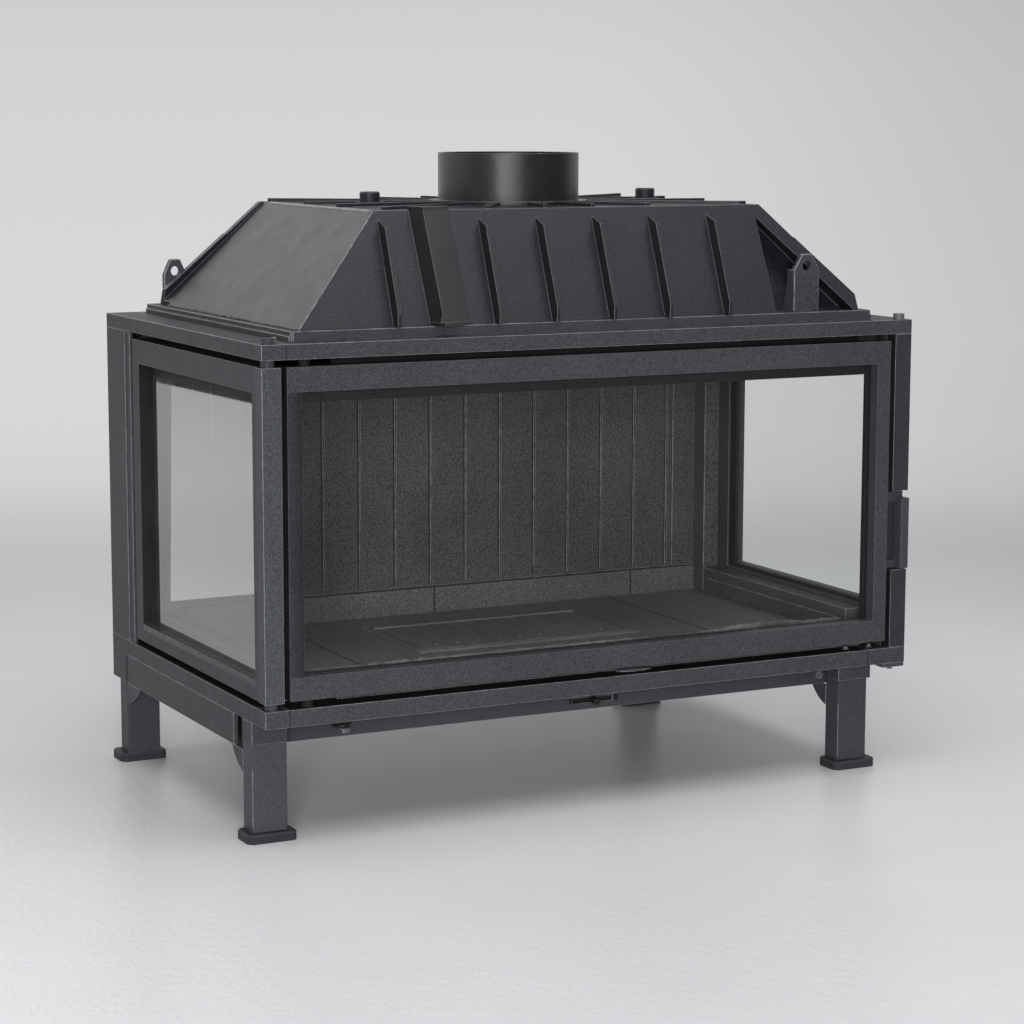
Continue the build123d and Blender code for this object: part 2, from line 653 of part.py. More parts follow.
with BuildPart() as post_pivots:
    rod(pivot_x, pivot_y, (side_z[1] - PIVOT_REACH + PIVOT_PLAY, Z_FLANGE), PIVOT_R)
    rod(pivot_x, pivot_y, (Z_FLANGE, Z_FLANGE + BOLT_HEAD_H), BOLT_HEAD_R)
    rod(pivot_x, pivot_y, (side_z[1] + PIVOT_PLAY, Z_DECK), BUSH_R)
    rod(pivot_x, pivot_y, (Z_BASE, side_z[0] + PIVOT_REACH - PIVOT_PLAY), PIVOT_R)
    rod(pivot_x, pivot_y, (Z_BAY, side_z[0] - PIVOT_PLAY), BUSH_R)
post_pivots.part.label = "post_pivots"
export_step(post_pivots.part, "parts/post_pivots.step")

# Side windows: the left one turns with the corner post, the right one is bolted in over the bay's full height
side_windows = (
    ("left", -1.0, SIDE_STILE_REAR, SIDE_RAIL_BOTTOM, side_z),
    ("right", 1.0, RIGHT_STILE_REAR, RIGHT_RAIL_BOTTOM, bay_z),
)
for name, sign, rear_stile, low_rail, frame_z in side_windows:
    out_x = sign * (RIGHT - SIDE_INSET)
    in_x = out_x - sign * SIDE_T
    lip_x = out_x - sign * FRAME_LIP
    glass_x = lip_x - sign * GLASS_T
    keep_x = glass_x - sign * RETAINER_T
    open_y = (post_y[1] + SIDE_STILE_FRONT, SIDE_BACK - rear_stile)
    open_z = (side_z[0] + low_rail, side_z[1] - SIDE_RAIL_TOP)
    lap_y = (open_y[0] - GLASS_LAP, open_y[1] + GLASS_LAP)
    lap_z = (open_z[0] - GLASS_LAP, open_z[1] + GLASS_LAP)
    pane_y = (lap_y[0] + SLOT_PLAY, lap_y[1] - SLOT_PLAY)
    pane_z = (lap_z[0] + SLOT_PLAY, lap_z[1] - SLOT_PLAY)
    with BuildPart() as side_frame:
        plate(sorted((out_x, in_x)), (post_y[1], SIDE_BACK), frame_z)
        plate(sorted((out_x, in_x)), open_y, open_z, Mode.SUBTRACT)
        plate(sorted((lip_x, in_x)), lap_y, lap_z, Mode.SUBTRACT)
        for row in range(BEAD_COUNT):
            low = open_z[0] - BEAD_PITCH * (row + 1)
            plate(sorted((out_x, out_x - sign * BEAD_DEPTH)), open_y, (low, low + BEAD_W), Mode.SUBTRACT)
    side_frame.part.label = f"{name}_frame"
    export_step(side_frame.part, f"parts/{name}_frame.step")
    with BuildPart() as side_glass:
        plate(sorted((lip_x, glass_x)), pane_y, pane_z)
    side_glass.part.label = f"{name}_glass"
    export_step(side_glass.part, f"parts/{name}_glass.step")
    with BuildPart() as side_retainer:
        plate(sorted((glass_x, keep_x)), pane_y, pane_z)
        plate(sorted((glass_x, keep_x)), (open_y[0] + RETAINER_SIDE, open_y[1] - RETAINER_REAR),
              (open_z[0], open_z[1] - RETAINER_TOP), Mode.SUBTRACT)
    side_retainer.part.label = f"{name}_retainer"
    export_step(side_retainer.part, f"parts/{name}_retainer.step")

# Flat gasket between the left window and the firebox, open along the post
gasket_y = (WALL_FRONT, SIDE_BACK - GASKET_EDGE)
gasket_z = (side_z[0] + GASKET_EDGE, side_z[1] - GASKET_EDGE)
gasket_x = (LEFT + SIDE_INSET + SIDE_T, -COLUMN_OUT_X - SEAT_PLAY)
with BuildPart() as left_gasket:
    plate(gasket_x, gasket_y, gasket_z)
    plate(gasket_x, (gasket_y[0], gasket_y[1] - GASKET_W), (gasket_z[0] + GASKET_W, gasket_z[1] - GASKET_W),
          Mode.SUBTRACT)
left_gasket.part.label = "left_gasket"
export_step(left_gasket.part, "parts/left_gasket.step")

# Front door frame: rabbet for the glass, bores for its pivots and shaft, slots for the arms and the hook
with BuildPart() as door_frame:
    plate(door_x, door_y, door_z)
    plate(door_open_x, door_y, door_open_z, Mode.SUBTRACT)
    plate(door_lap_x, (FRONT + DOOR_LIP, door_y[1]), door_lap_z, Mode.SUBTRACT)
    for low, high in ((door_z[0], door_z[0] + DOOR_PIN_REACH), (door_z[1] - DOOR_PIN_REACH, door_z[1])):
        rod(hinge_x, hinge_y, (low, high), DOOR_PIN_R + PIVOT_PLAY, Mode.SUBTRACT)
    rod(shaft_x, shaft_y, shaft_z, SHAFT_R + PIVOT_PLAY, Mode.SUBTRACT)
    for base, height in zip(ARM_Z, ARM_H):
        plate((shaft_x - HUB_R - LIFT_PLAY, DOOR_RIGHT), (FRONT + SLOT_SKIN, shaft_y + HUB_R + SLOT_PLAY),
              (base - SLOT_PLAY, base + height + SLOT_PLAY), Mode.SUBTRACT)
    plate((shaft_x - HUB_R - LIFT_PLAY, DOOR_RIGHT), (FRONT + SLOT_SKIN, door_y[1]),
          (HOOK_Z - SLOT_PLAY, HOOK_Z + HOOK_H + SLOT_PLAY), Mode.SUBTRACT)
door_frame.part.label = "door_frame"
export_step(door_frame.part, "parts/door_frame.step")

with BuildPart() as door_glass:
    plate(door_pane_x, (FRONT + DOOR_LIP, FRONT + DOOR_LIP + GLASS_T), door_pane_z)
door_glass.part.label = "door_glass"
export_step(door_glass.part, "parts/door_glass.step")

with BuildPart() as door_retainer:
    plate(door_pane_x, (FRONT + DOOR_LIP + GLASS_T, door_y[1]), door_pane_z)
    plate((door_open_x[0] + RETAINER_SIDE, door_open_x[1] - RETAINER_SIDE), door_y,
          (door_open_z[0], door_open_z[1] - RETAINER_TOP), Mode.SUBTRACT)
door_retainer.part.label = "door_retainer"
export_step(door_retainer.part, "parts/door_retainer.step")

# Rope seal on the back of the door
with BuildPart() as door_seal:
    plate((seal_x[0] - ROPE_T / 2, seal_x[1] + ROPE_T / 2), seal_y, (seal_z[0] - ROPE_T / 2, seal_z[1] + ROPE_T / 2))
    plate((seal_x[0] + ROPE_T / 2, seal_x[1] - ROPE_T / 2), seal_y, (seal_z[0] + ROPE_T / 2, seal_z[1] - ROPE_T / 2),
          Mode.SUBTRACT)
    chamfer(door_seal.faces().sort_by(Axis.Y)[-1].edges(), ROPE_BEVEL)
door_seal.part.label = "door_seal"
export_step(door_seal.part, "parts/door_seal.step")

with BuildPart() as door_pivots:
    rod(hinge_x, hinge_y, (door_z[1] - DOOR_PIN_REACH + PIVOT_PLAY, Z_DECK + DECK_T / 2 - PIVOT_PLAY), DOOR_PIN_R)
    rod(hinge_x, hinge_y, (door_z[1] + PIVOT_PLAY, Z_DECK), DOOR_BUSH_R)
    rod(hinge_x, hinge_y, (Z_BASE, door_z[0] + DOOR_PIN_REACH - PIVOT_PLAY), DOOR_PIN_R)
    rod(hinge_x, hinge_y, (Z_BAY, door_z[0] - PIVOT_PLAY), DOOR_BUSH_R)
door_pivots.part.label = "door_pivots"
export_step(door_pivots.part, "parts/door_pivots.step")

# Door handle: two arms from the shaft, joined by the upright grip
with BuildPart() as door_handle:
    for base, height in zip(ARM_Z, ARM_H):
        plate((shaft_x, grip_x[1] - ARM_SETBACK), (shaft_y - ARM_T / 2, shaft_y + ARM_T / 2), (base, base + height))
        rod(shaft_x, shaft_y, (base, base + height), HUB_R)
    plate(grip_x, grip_y, grip_z)
    fillet(door_handle.edges().filter_by(Axis.Z).group_by(Axis.Y)[0], GRIP_ROUND)
    rod(shaft_x, shaft_y, (ARM_Z[0], ARM_Z[1] + ARM_H[1]), SHAFT_R, Mode.SUBTRACT)
door_handle.part.label = "door_handle"
export_step(door_handle.part, "parts/door_handle.step")

# Latch shaft with the hook that comes round the keeper's right side and behind it
hook_z = (HOOK_Z, HOOK_Z + HOOK_H)
hook_room_z = (HOOK_Z - KEEPER_ROOM, HOOK_Z + HOOK_H + KEEPER_ROOM)
with BuildPart() as latch_shaft:
    rod(shaft_x, shaft_y, (shaft_z[0] + SLOT_PLAY, shaft_z[1] - SLOT_PLAY), SHAFT_R)
    with BuildSketch(Plane.XY.offset(HOOK_Z)) as hook:
        with Locations((shaft_x, shaft_y)):
            Circle(HUB_R)
        with BuildLine():
            Polyline(
                (shaft_x + HOOK_X[0], shaft_y),
                (shaft_x + HOOK_X[0], shaft_y + HOOK_L - HOOK_TIP_T),
                (shaft_x + HOOK_TIP_X, shaft_y + HOOK_L - HOOK_TIP_T),
                (shaft_x + HOOK_TIP_X, shaft_y + HOOK_L),
                (shaft_x + HOOK_X[1], shaft_y + HOOK_L),
                (shaft_x + HOOK_X[1], shaft_y),
                close=True,
            )
        make_face()
    extrude(amount=HOOK_H)
latch_shaft.part.label = "latch_shaft"
export_step(latch_shaft.part, "parts/latch_shaft.step")

# Keeper pin between two ears on the right jamb, in front of the hook's window
with BuildPart() as latch_keeper:
    rod(keeper_x, keeper_y, (hook_room_z[0] - KEEPER_EAR, hook_room_z[1] + KEEPER_EAR), KEEPER_R)
    for low in (hook_room_z[0] - KEEPER_EAR, hook_room_z[1]):
        plate((keeper_x - KEEPER_HALF, keeper_x + KEEPER_HALF), (keeper_y - KEEPER_R, JAMB_Y), (low, low + KEEPER_EAR))
latch_keeper.part.label = "latch_keeper"
export_step(latch_keeper.part, "parts/latch_keeper.step")

jamb_right = RIGHT - SIDE_INSET - SIDE_T
with BuildPart() as right_jamb:
    plate((JAMB_INNER, jamb_right), (JAMB_Y, JAMB_Y + JAMB_T), bay_z)
    plate((keeper_x - KEEPER_HALF, jamb_right), (JAMB_Y, JAMB_Y + JAMB_T), hook_room_z, Mode.SUBTRACT)
right_jamb.part.label = "right_jamb"
export_step(right_jamb.part, "parts/right_jamb.step")

with BuildPart() as door_sill:
    plate((LINTEL_LEFT, JAMB_INNER), (JAMB_Y, JAMB_Y + SILL_BAR_T), (Z_BAY, Z_BAY + SILL_BAR_H))
door_sill.part.label = "door_sill"
export_step(door_sill.part, "parts/door_sill.step")

# Lintels that hang from the top frame, and the spacer block over the door's right end;
# the side pair have a foot that carries the baffle
with BuildPart() as lintels:
    plate((LINTEL_LEFT, JAMB_INNER), (JAMB_Y, JAMB_Y + LINTEL_T), (Z_DECK - LINTEL_H, Z_DECK))
    plate((DOOR_RIGHT - SPACER_INSET - SPACER_W, DOOR_RIGHT - SPACER_INSET),
          (FRONT + SPACER_SETBACK, FRONT + SPACER_SETBACK + SPACER_D), (door_z[1] + LIFT_PLAY, Z_DECK))
    for sign in (-1.0, 1.0):
        web = sorted((sign * COLUMN_OUT_X, sign * (COLUMN_OUT_X - LINTEL_WEB)))
        foot = sorted((sign * COLUMN_OUT_X, sign * HEARTH_X))
        plate(web, (WALL_FRONT, COLUMN_Y), (LINING_TOP, Z_DECK))
        plate(foot, (WALL_FRONT, COLUMN_Y), (LINING_TOP - LINTEL_WEB, LINING_TOP))
lintels.part.label = "lintels"
export_step(lintels.part, "parts/lintels.step")

# Hearth plates round the grate
with BuildPart() as hearth_plates:
    spans = ((-HEARTH_X, -SEAM_X), (-SEAM_X + SEAM_W, SEAM_X - SEAM_W), (SEAM_X, HEARTH_X))
    for span in spans:
        plate(span, (HEARTH_FRONT, PLINTH_Y), (Z_BAY, Z_HEARTH))
    plate((grate_x[0] - LIFT_PLAY, grate_x[1] + LIFT_PLAY), (grate_y[0] - LIFT_PLAY, grate_y[1] + LIFT_PLAY),
          (Z_BAY, Z_HEARTH), Mode.SUBTRACT)
hearth_plates.part.label = "hearth_plates"
export_step(hearth_plates.part, "parts/hearth_plates.step")

# Grate with slots from front to back and rows of small pegs beside them
with BuildPart() as grate:
    plate(grate_x, grate_y, (Z_BAY, Z_BAY + GRATE_T))
    slot_pitch = (GRATE_W - 2 * SLOT_MARGIN) / (SLOT_COUNT - 1)
    slot_length = GRATE_D - 2 * SLOT_MARGIN
    with BuildSketch(Plane.XY.offset(Z_BAY)) as slots:
        with Locations((GRATE_X, GRATE_Y)):
            with GridLocations(slot_pitch, 0, SLOT_COUNT, 1):
                SlotOverall(slot_length, SLOT_W, rotation=90)
    extrude(amount=GRATE_T, mode=Mode.SUBTRACT)
    with BuildSketch(Plane.XY.offset(Z_BAY + GRATE_T)) as pegs:
        with Locations((GRATE_X, GRATE_Y)):
            with GridLocations(slot_pitch, slot_length + SLOT_W, SLOT_COUNT - 1, 2):
                Circle(PEG_R)
    extrude(amount=PEG_H)
grate.part.label = "grate"
export_step(grate.part, "parts/grate.step")

# Ash box that hangs under the tray's opening, and the pan that stands in it
box_x = (drop_x[0] - BOX_MARGIN, drop_x[1] + BOX_MARGIN)
box_y = (drop_y[0] - BOX_MARGIN, drop_y[1] + BOX_MARGIN)
box_top = Z_BAY - TRAY_WEB
pan_x = (drop_x[0] + LIFT_PLAY, drop_x[1] - LIFT_PLAY)
pan_y = (drop_y[0] + LIFT_PLAY, drop_y[1] - LIFT_PLAY)
pan_z = box_top - BOX_DROP + BOX_WALL
with BuildPart() as ash_box:
    plate(box_x, box_y, (box_top - BOX_DROP, box_top))
    plate((box_x[0] + BOX_WALL, box_x[1] - BOX_WALL), (box_y[0] + BOX_WALL, box_y[1] - BOX_WALL),
          (pan_z, box_top), Mode.SUBTRACT)
ash_box.part.label = "ash_box"
export_step(ash_box.part, "parts/ash_box.step")

with BuildPart() as ash_pan:
    plate(pan_x, pan_y, (pan_z, pan_z + PAN_H))
    plate((pan_x[0] + PAN_WALL, pan_x[1] - PAN_WALL), (pan_y[0] + PAN_WALL, pan_y[1] - PAN_WALL),
          (pan_z + PAN_WALL, pan_z + PAN_H), Mode.SUBTRACT)
ash_pan.part.label = "ash_pan"
export_step(ash_pan.part, "parts/ash_pan.step")

# Lining: plinth plates, grooved back panel, infill panels and inner columns
lining_z = (Z_HEARTH + PLINTH_H, LINING_TOP)
with BuildPart() as plinth_plates:
    edges = (-HEARTH_X,) + PLINTH_SEAMS + (HEARTH_X,)
    for low, high in zip(edges[:-1], edges[1:]):
        plate((low + SEAM_W / 2, high - SEAM_W / 2), (PLINTH_Y, LINING_BACK), (Z_BAY, Z_HEARTH + PLINTH_H))
plinth_plates.part.label = "plinth_plates"
export_step(plinth_plates.part, "parts/plinth_plates.step")

with BuildPart() as back_panel:
    plate((-PANEL_X, PANEL_X), (PANEL_Y, PANEL_Y + PANEL_T), lining_z)
    for groove in range(GROOVE_COUNT):
        x = GROOVE_START - groove * GROOVE_PITCH
        plate((x - GROOVE_W / 2, x + GROOVE_W / 2), (PANEL_Y, PANEL_Y + GROOVE_DEPTH),
              (lining_z[0] + GROOVE_FOOT, lining_z[1]), Mode.SUBTRACT)
back_panel.part.label = "back_panel"
export_step(back_panel.part, "parts/back_panel.step")

with BuildPart() as infill_panels:
    for sign in (-1.0, 1.0):
        plate(sorted((sign * PANEL_X, sign * HEARTH_X)), (INFILL_Y, INFILL_Y + PANEL_T), lining_z)
infill_panels.part.label = "infill_panels"
export_step(infill_panels.part, "parts/infill_panels.step")

with BuildPart() as inner_columns:
    for sign in (-1.0, 1.0):
        plate(sorted((sign * HEARTH_X, sign * COLUMN_OUT_X)), (COLUMN_Y, LINING_BACK), (Z_BAY, LINING_TOP))
inner_columns.part.label = "inner_columns"
export_step(inner_columns.part, "parts/inner_columns.step")

with BuildPart() as firebox_back:
    plate((-COLUMN_OUT_X, COLUMN_OUT_X), (LINING_BACK, LINING_BACK + SHEET_T), bay_z)
firebox_back.part.label = "firebox_back"
export_step(firebox_back.part, "parts/firebox_back.step")

# Low side walls with their sills, and the log guard at the front
with BuildPart() as side_walls:
    for sign in (-1.0, 1.0):
        plate(sorted((sign * HEARTH_X, sign * COLUMN_OUT_X)), (WALL_FRONT, COLUMN_Y), (Z_BAY, WALL_TOP))
side_walls.part.label = "side_walls"
export_step(side_walls.part, "parts/side_walls.step")

with BuildPart() as side_sills:
    for sign in (-1.0, 1.0):
        plate(sorted((sign * HEARTH_X, sign * SILL_OUT)), (SILL_FRONT, COLUMN_Y), (WALL_TOP, WALL_TOP + SILL_H))
side_sills.part.label = "side_sills"
export_step(side_sills.part, "parts/side_sills.step")

with BuildPart() as log_guard:
    plate((-HEARTH_X + LIFT_PLAY, HEARTH_X - LIFT_PLAY), (GUARD_Y, GUARD_Y + GUARD_T), (Z_HEARTH, WALL_TOP))
    fillet(log_guard.edges().filter_by(Axis.X).group_by(Axis.Z)[-1], GUARD_ROUND)
log_guard.part.label = "log_guard"
export_step(log_guard.part, "parts/log_guard.step")

with BuildPart() as baffle:
    plate((-BAFFLE_X, BAFFLE_X), (BAFFLE_FRONT, LINING_BACK), (LINING_TOP, LINING_TOP + BAFFLE_T))
    chamfer(baffle.edges().filter_by(Axis.X).group_by(Axis.Y)[0], BAFFLE_T / 4)
baffle.part.label = "baffle"
export_step(baffle.part, "parts/baffle.step")


def hood_half(height, grow=0.0):
    """Half width and half depth of the hood's outside at a height, grown sideways."""
    share = (height - Z_HOOD) / HOOD_H
    half_w = HOOD_BASE_W / 2 + share * (HOOD_TOP_W - HOOD_BASE_W) / 2
    half_d = HOOD_BASE_D / 2 + share * (HOOD_TOP_D - HOOD_BASE_D) / 2
    return half_w + grow, half_d + grow


def side_x(height):
    """X of the hood's right panel at a height."""
    return hood_half(height)[0]


def front_y(height):
    """Y of the hood's front panel at a height."""
    return HOOD_Y - hood_half(height)[1]


def pyramid(low, high, grow):
    """Add the hood's four-sided taper between two heights."""
    sections = []
    for height in (low, high):
        half_w, half_d = hood_half(height, grow)
        with BuildSketch(Plane.XY.offset(height)) as section:
            with Locations((0, HOOD_Y)):
                Rectangle(2 * half_w, 2 * half_d)
        sections.append(section.sketch.face())
    loft(sections, ruled=True)


def crossing(side_view, end_view):
    """The body whose outline is side_view in X and Z, and end_view in Y and Z."""
    with BuildPart() as body:
        with BuildSketch(Plane.XZ) as side:
            with BuildLine():
                Polyline(*side_view, close=True)
            make_face()
        extrude(amount=BODY_D)
        with BuildSketch(Plane.YZ) as end:
            with BuildLine():
                Polyline(*end_view, close=True)
            make_face()
        extrude(amount=BODY_W, mode=Mode.INTERSECT)
    return body.part


def corner_space(grow):
    """The cut-away corner at the hood's front right, grown by a wall."""
    start = side_x(Z_CROWN) - CORNER_INSET - grow
    wall = HOOD_WALL - grow
    brow = Z_CROWN - CROWN_T + grow
    side_view = ((start, Z_HOOD), (side_x(Z_HOOD) - wall, Z_HOOD), (side_x(brow) - wall, brow), (start, brow))
    depth = CORNER_DEPTH + grow
    end_view = ((FRONT, Z_HOOD), (front_y(Z_HOOD) + depth, Z_HOOD), (front_y(brow) + depth, brow), (FRONT, brow))
    return crossing(side_view, end_view)


def corner_trim():
    """What the right panel's foot would show beyond the upright heel of its rim."""
    heel_z = Z_HOOD + RIM_HEEL
    with BuildPart() as body:
        plate((side_x(heel_z) + RIM_PROUD_BASE, RIGHT), (FRONT, front_y(Z_HOOD) + CORNER_DEPTH), (Z_HOOD, heel_z))
    return body.part


def corner_rim():
    """The raised rim on the right panel's front edge, with its step and its upright heel."""
    heel_z = Z_HOOD + RIM_HEEL
    heel_x = side_x(heel_z) + RIM_PROUD_BASE
    run = RIM_W * ((side_x(Z_HOOD) - side_x(Z_CROWN)) ** 2 + HOOD_H ** 2) ** 0.5 / HOOD_H
    side_view = (
        (side_x(Z_CROWN) + RIM_PROUD_TOP, Z_CROWN),
        (side_x(RIM_STEP_Z) + RIM_PROUD_STEP[0], RIM_STEP_Z),
        (side_x(RIM_STEP_Z) + RIM_PROUD_STEP[1], RIM_STEP_Z),
        (heel_x, heel_z),
        (heel_x, Z_HOOD),
        (side_x(Z_HOOD) + RIM_PROUD_BASE - run, Z_HOOD),
        (side_x(Z_CROWN) + RIM_PROUD_TOP - run, Z_CROWN),
    )
    end_view = (
        (front_y(Z_HOOD), Z_HOOD),
        (front_y(Z_HOOD) + RIM_T, Z_HOOD),
        (front_y(Z_CROWN) + RIM_T, Z_CROWN),
        (front_y(Z_CROWN), Z_CROWN),
    )
    return crossing(side_view, end_view)


def turned(body):
    """The same body half a turn round the hood's upright axis."""
    return body.rotate(Axis((0, HOOD_Y, 0), (0, 0, 1)), 180)


# Hood: hollow taper with cut-away corners, rims, fins, a wedge rib and a ribbed crown
with BuildPart() as hood_cavity:
    pyramid(Z_HOOD, Z_CROWN - CROWN_T, -HOOD_WALL)
    add(corner_space(HOOD_WALL), mode=Mode.SUBTRACT)
    add(turned(corner_space(HOOD_WALL)), mode=Mode.SUBTRACT)

with BuildPart() as hood:
    pyramid(Z_HOOD, Z_CROWN, 0.0)
    add(corner_space(0.0), mode=Mode.SUBTRACT)
    add(turned(corner_space(0.0)), mode=Mode.SUBTRACT)
    add(corner_trim(), mode=Mode.SUBTRACT)
    add(turned(corner_trim()), mode=Mode.SUBTRACT)
    add(corner_rim())
    add(turned(corner_rim()))
    fin_top = Z_CROWN - FIN_TOP_GAP
    fin_heel = Z_HOOD + FIN_HEEL
    for x in FIN_X:
        lean = Plane((x - FIN_T / 2, 0, Z_HOOD), x_dir=(0, 1, 0), z_dir=(HOOD_H, 0, -FIN_LEAN))
        with BuildSketch(lean) as fin:
            with BuildLine():
                Polyline(
                    (front_y(fin_top) + HOOD_WALL / 2, fin_top - Z_HOOD),
                    (front_y(fin_top), fin_top - Z_HOOD),
                    (front_y(fin_top - FIN_BEVEL) - FIN_DEPTH, fin_top - FIN_BEVEL - Z_HOOD),
                    (front_y(fin_heel) - FIN_DEPTH, FIN_HEEL),
                    (front_y(fin_heel) - FIN_DEPTH, -FIN_T),
                    (front_y(Z_HOOD) + HOOD_WALL / 2, -FIN_T),
                    close=True,
                )
            make_face()
        extrude(amount=FIN_T)
    plate((LEFT, RIGHT), (FRONT, BACK), (Z_FLANGE, Z_HOOD), Mode.SUBTRACT)
    wedge_cuts = []
    for height in (Z_HOOD, Z_CROWN):
        with BuildSketch(Plane.XY.offset(height)) as cut:
            with BuildLine():
                Polyline(
                    (WEDGE_X[0], front_y(height) + HOOD_WALL / 2),
                    (WEDGE_X[0], front_y(height)),
                    (WEDGE_X[1], front_y(height) - WEDGE_DEPTH),
                    (WEDGE_X[2], front_y(height)),
                    (WEDGE_X[2], front_y(height) + HOOD_WALL / 2),
                    close=True,
                )
            make_face()
        wedge_cuts.append(cut.sketch.face())
    loft(wedge_cuts, ruled=True)
    plate((WEDGE_X[0], WEDGE_X[2]), (FRONT, front_y(fin_heel) - WEDGE_DEPTH), (Z_HOOD, fin_heel), Mode.SUBTRACT)
    with BuildSketch(Plane.XY.offset(Z_CROWN)) as crown_ribs:
        with Locations((0, COLLAR_Y)):
            with PolarLocations(CROWN_RIB_REACH / 2, CROWN_RIB_COUNT, start_angle=180 / CROWN_RIB_COUNT):
                Rectangle(CROWN_RIB_REACH, CROWN_RIB_W)
            Circle(COLLAR_FOOT_R + SEAT_PLAY, mode=Mode.SUBTRACT)
        with Locations((0, HOOD_Y)):
            Rectangle(HOOD_TOP_W - 2 * CROWN_RIB_W, HOOD_TOP_D - 2 * CROWN_RIB_W, mode=Mode.INTERSECT)
        with Locations((-CAP_X, CAP_Y), (CAP_X, CAP_Y)):
            Circle(CAP_R + CROWN_RIB_W)
    extrude(amount=CROWN_RIB_H)
    add(hood_cavity.part, mode=Mode.SUBTRACT)
    rod(0, COLLAR_Y, (Z_CROWN - CROWN_T, Z_CROWN), COLLAR_R - COLLAR_WALL, Mode.SUBTRACT)
hood.part.label = "hood"
export_step(hood.part, "parts/hood.step")

# Flange under the hood, open below the hood's hollow, with a ledge along both ends and a mitre gap at its near corner
with BuildPart() as hood_flange:
    plate((-FLANGE_W / 2, FLANGE_W / 2), (-FLANGE_D / 2, FLANGE_D / 2), (Z_FLANGE, Z_FLANGE + FLANGE_LEDGE_H))
    plate((-FLANGE_W / 2 + FLANGE_LEDGE, FLANGE_W / 2 - FLANGE_LEDGE), (-FLANGE_D / 2, FLANGE_D / 2),
          (Z_FLANGE + FLANGE_LEDGE_H, Z_HOOD))
    throat_w, throat_d = hood_half(Z_HOOD, -2 * HOOD_WALL)
    waist = side_x(Z_CROWN) - CORNER_INSET - 2 * HOOD_WALL
    cheek = throat_d - CORNER_DEPTH
    plate((-throat_w, waist), (HOOD_Y - throat_d, HOOD_Y + cheek), (Z_FLANGE, Z_HOOD), Mode.SUBTRACT)
    plate((-waist, throat_w), (HOOD_Y - cheek, HOOD_Y + throat_d), (Z_FLANGE, Z_HOOD), Mode.SUBTRACT)
    plate((-FLANGE_W / 2, -FLANGE_W / 2 + MITRE_GAP), (-FLANGE_D / 2, -FLANGE_D / 2 + MITRE_GAP),
          (Z_FLANGE, Z_HOOD), Mode.SUBTRACT)
hood_flange.part.label = "hood_flange"
export_step(hood_flange.part, "parts/hood_flange.step")

# Round-headed bolts on the crown
with BuildPart() as crown_bolts:
    for x in (-CAP_X, CAP_X):
        rod(x, CAP_Y, (Z_CROWN + CROWN_RIB_H, Z_CROWN + CROWN_RIB_H + CAP_H), CAP_R)
    chamfer(crown_bolts.faces().group_by(Axis.Z)[-1].edges(), CAP_BEVEL)
crown_bolts.part.label = "crown_bolts"
export_step(crown_bolts.part, "parts/crown_bolts.step")

# Flue collar, a tube on a foot ring
with BuildPart() as flue_collar:
    rod(0, COLLAR_Y, (Z_CROWN, Z_MOUTH), COLLAR_R)
    rod(0, COLLAR_Y, (Z_CROWN, Z_CROWN + COLLAR_FOOT_T), COLLAR_FOOT_R)
    rod(0, COLLAR_Y, (Z_CROWN, Z_MOUTH), COLLAR_R - COLLAR_WALL, Mode.SUBTRACT)
flue_collar.part.label = "flue_collar"
export_step(flue_collar.part, "parts/flue_collar.step")

# Lifting lugs: upright ears on the flange, the front one with a gusset behind it
lugs = (
    (LUG_FRONT_X, LUG_FRONT_Y, LUG_FRONT_W, LUG_FRONT_H),
    (LUG_REAR_X, LUG_REAR_Y, LUG_REAR_W, LUG_REAR_H),
)
with BuildPart() as lifting_lugs:
    for x, y, width, height in lugs:
        top = Z_HOOD + height
        with BuildSketch(Plane.XZ.offset(-y)) as ear:
            with BuildLine():
                Polyline(
                    (x - width / 2, Z_HOOD),
                    (x - width / 2, top - LUG_SHOULDER),
                    (x - LUG_CROWN / 2, top),
                    (x + LUG_CROWN / 2, top),
                    (x + width / 2, top - LUG_SHOULDER),
                    (x + width / 2, Z_HOOD),
                    close=True,
                )
            make_face()
            with Locations((x, top - LUG_HOLE_DROP)):
                Circle(LUG_HOLE_R, mode=Mode.SUBTRACT)
        extrude(amount=-LUG_T)
    root = LUG_FRONT_Y + LUG_T
    toe = LUG_FRONT_Y + LUG_GUSSET_L
    brow = Z_HOOD + LUG_FRONT_H - LUG_SHOULDER
    with BuildSketch(Plane.YZ.offset(LUG_FRONT_X - LUG_FRONT_W / 2)) as web:
        with BuildLine():
            Polyline((root + LUG_GUSSET_TOP, brow), (root, brow), (root, Z_HOOD), (toe, Z_HOOD))
            ThreePointArc((toe, Z_HOOD), ((root + LUG_GUSSET_TOP + toe) / 2 - GUSSET_T, (Z_HOOD + brow) / 2),
                          (root + LUG_GUSSET_TOP, brow))
        make_face()
    extrude(amount=GUSSET_T)
lifting_lugs.part.label = "lifting_lugs"
export_step(lifting_lugs.part, "parts/lifting_lugs.step")

# Clip under the front right corner
with BuildPart() as corner_clip:
    plate((RIGHT - CLIP_INSET - CLIP_W, RIGHT - CLIP_INSET), (FRONT + CLIP_INSET, FRONT + CLIP_INSET + CLIP_D),
          (Z_BASE - CLIP_T, Z_BASE))
corner_clip.part.label = "corner_clip"
export_step(corner_clip.part, "parts/corner_clip.step")

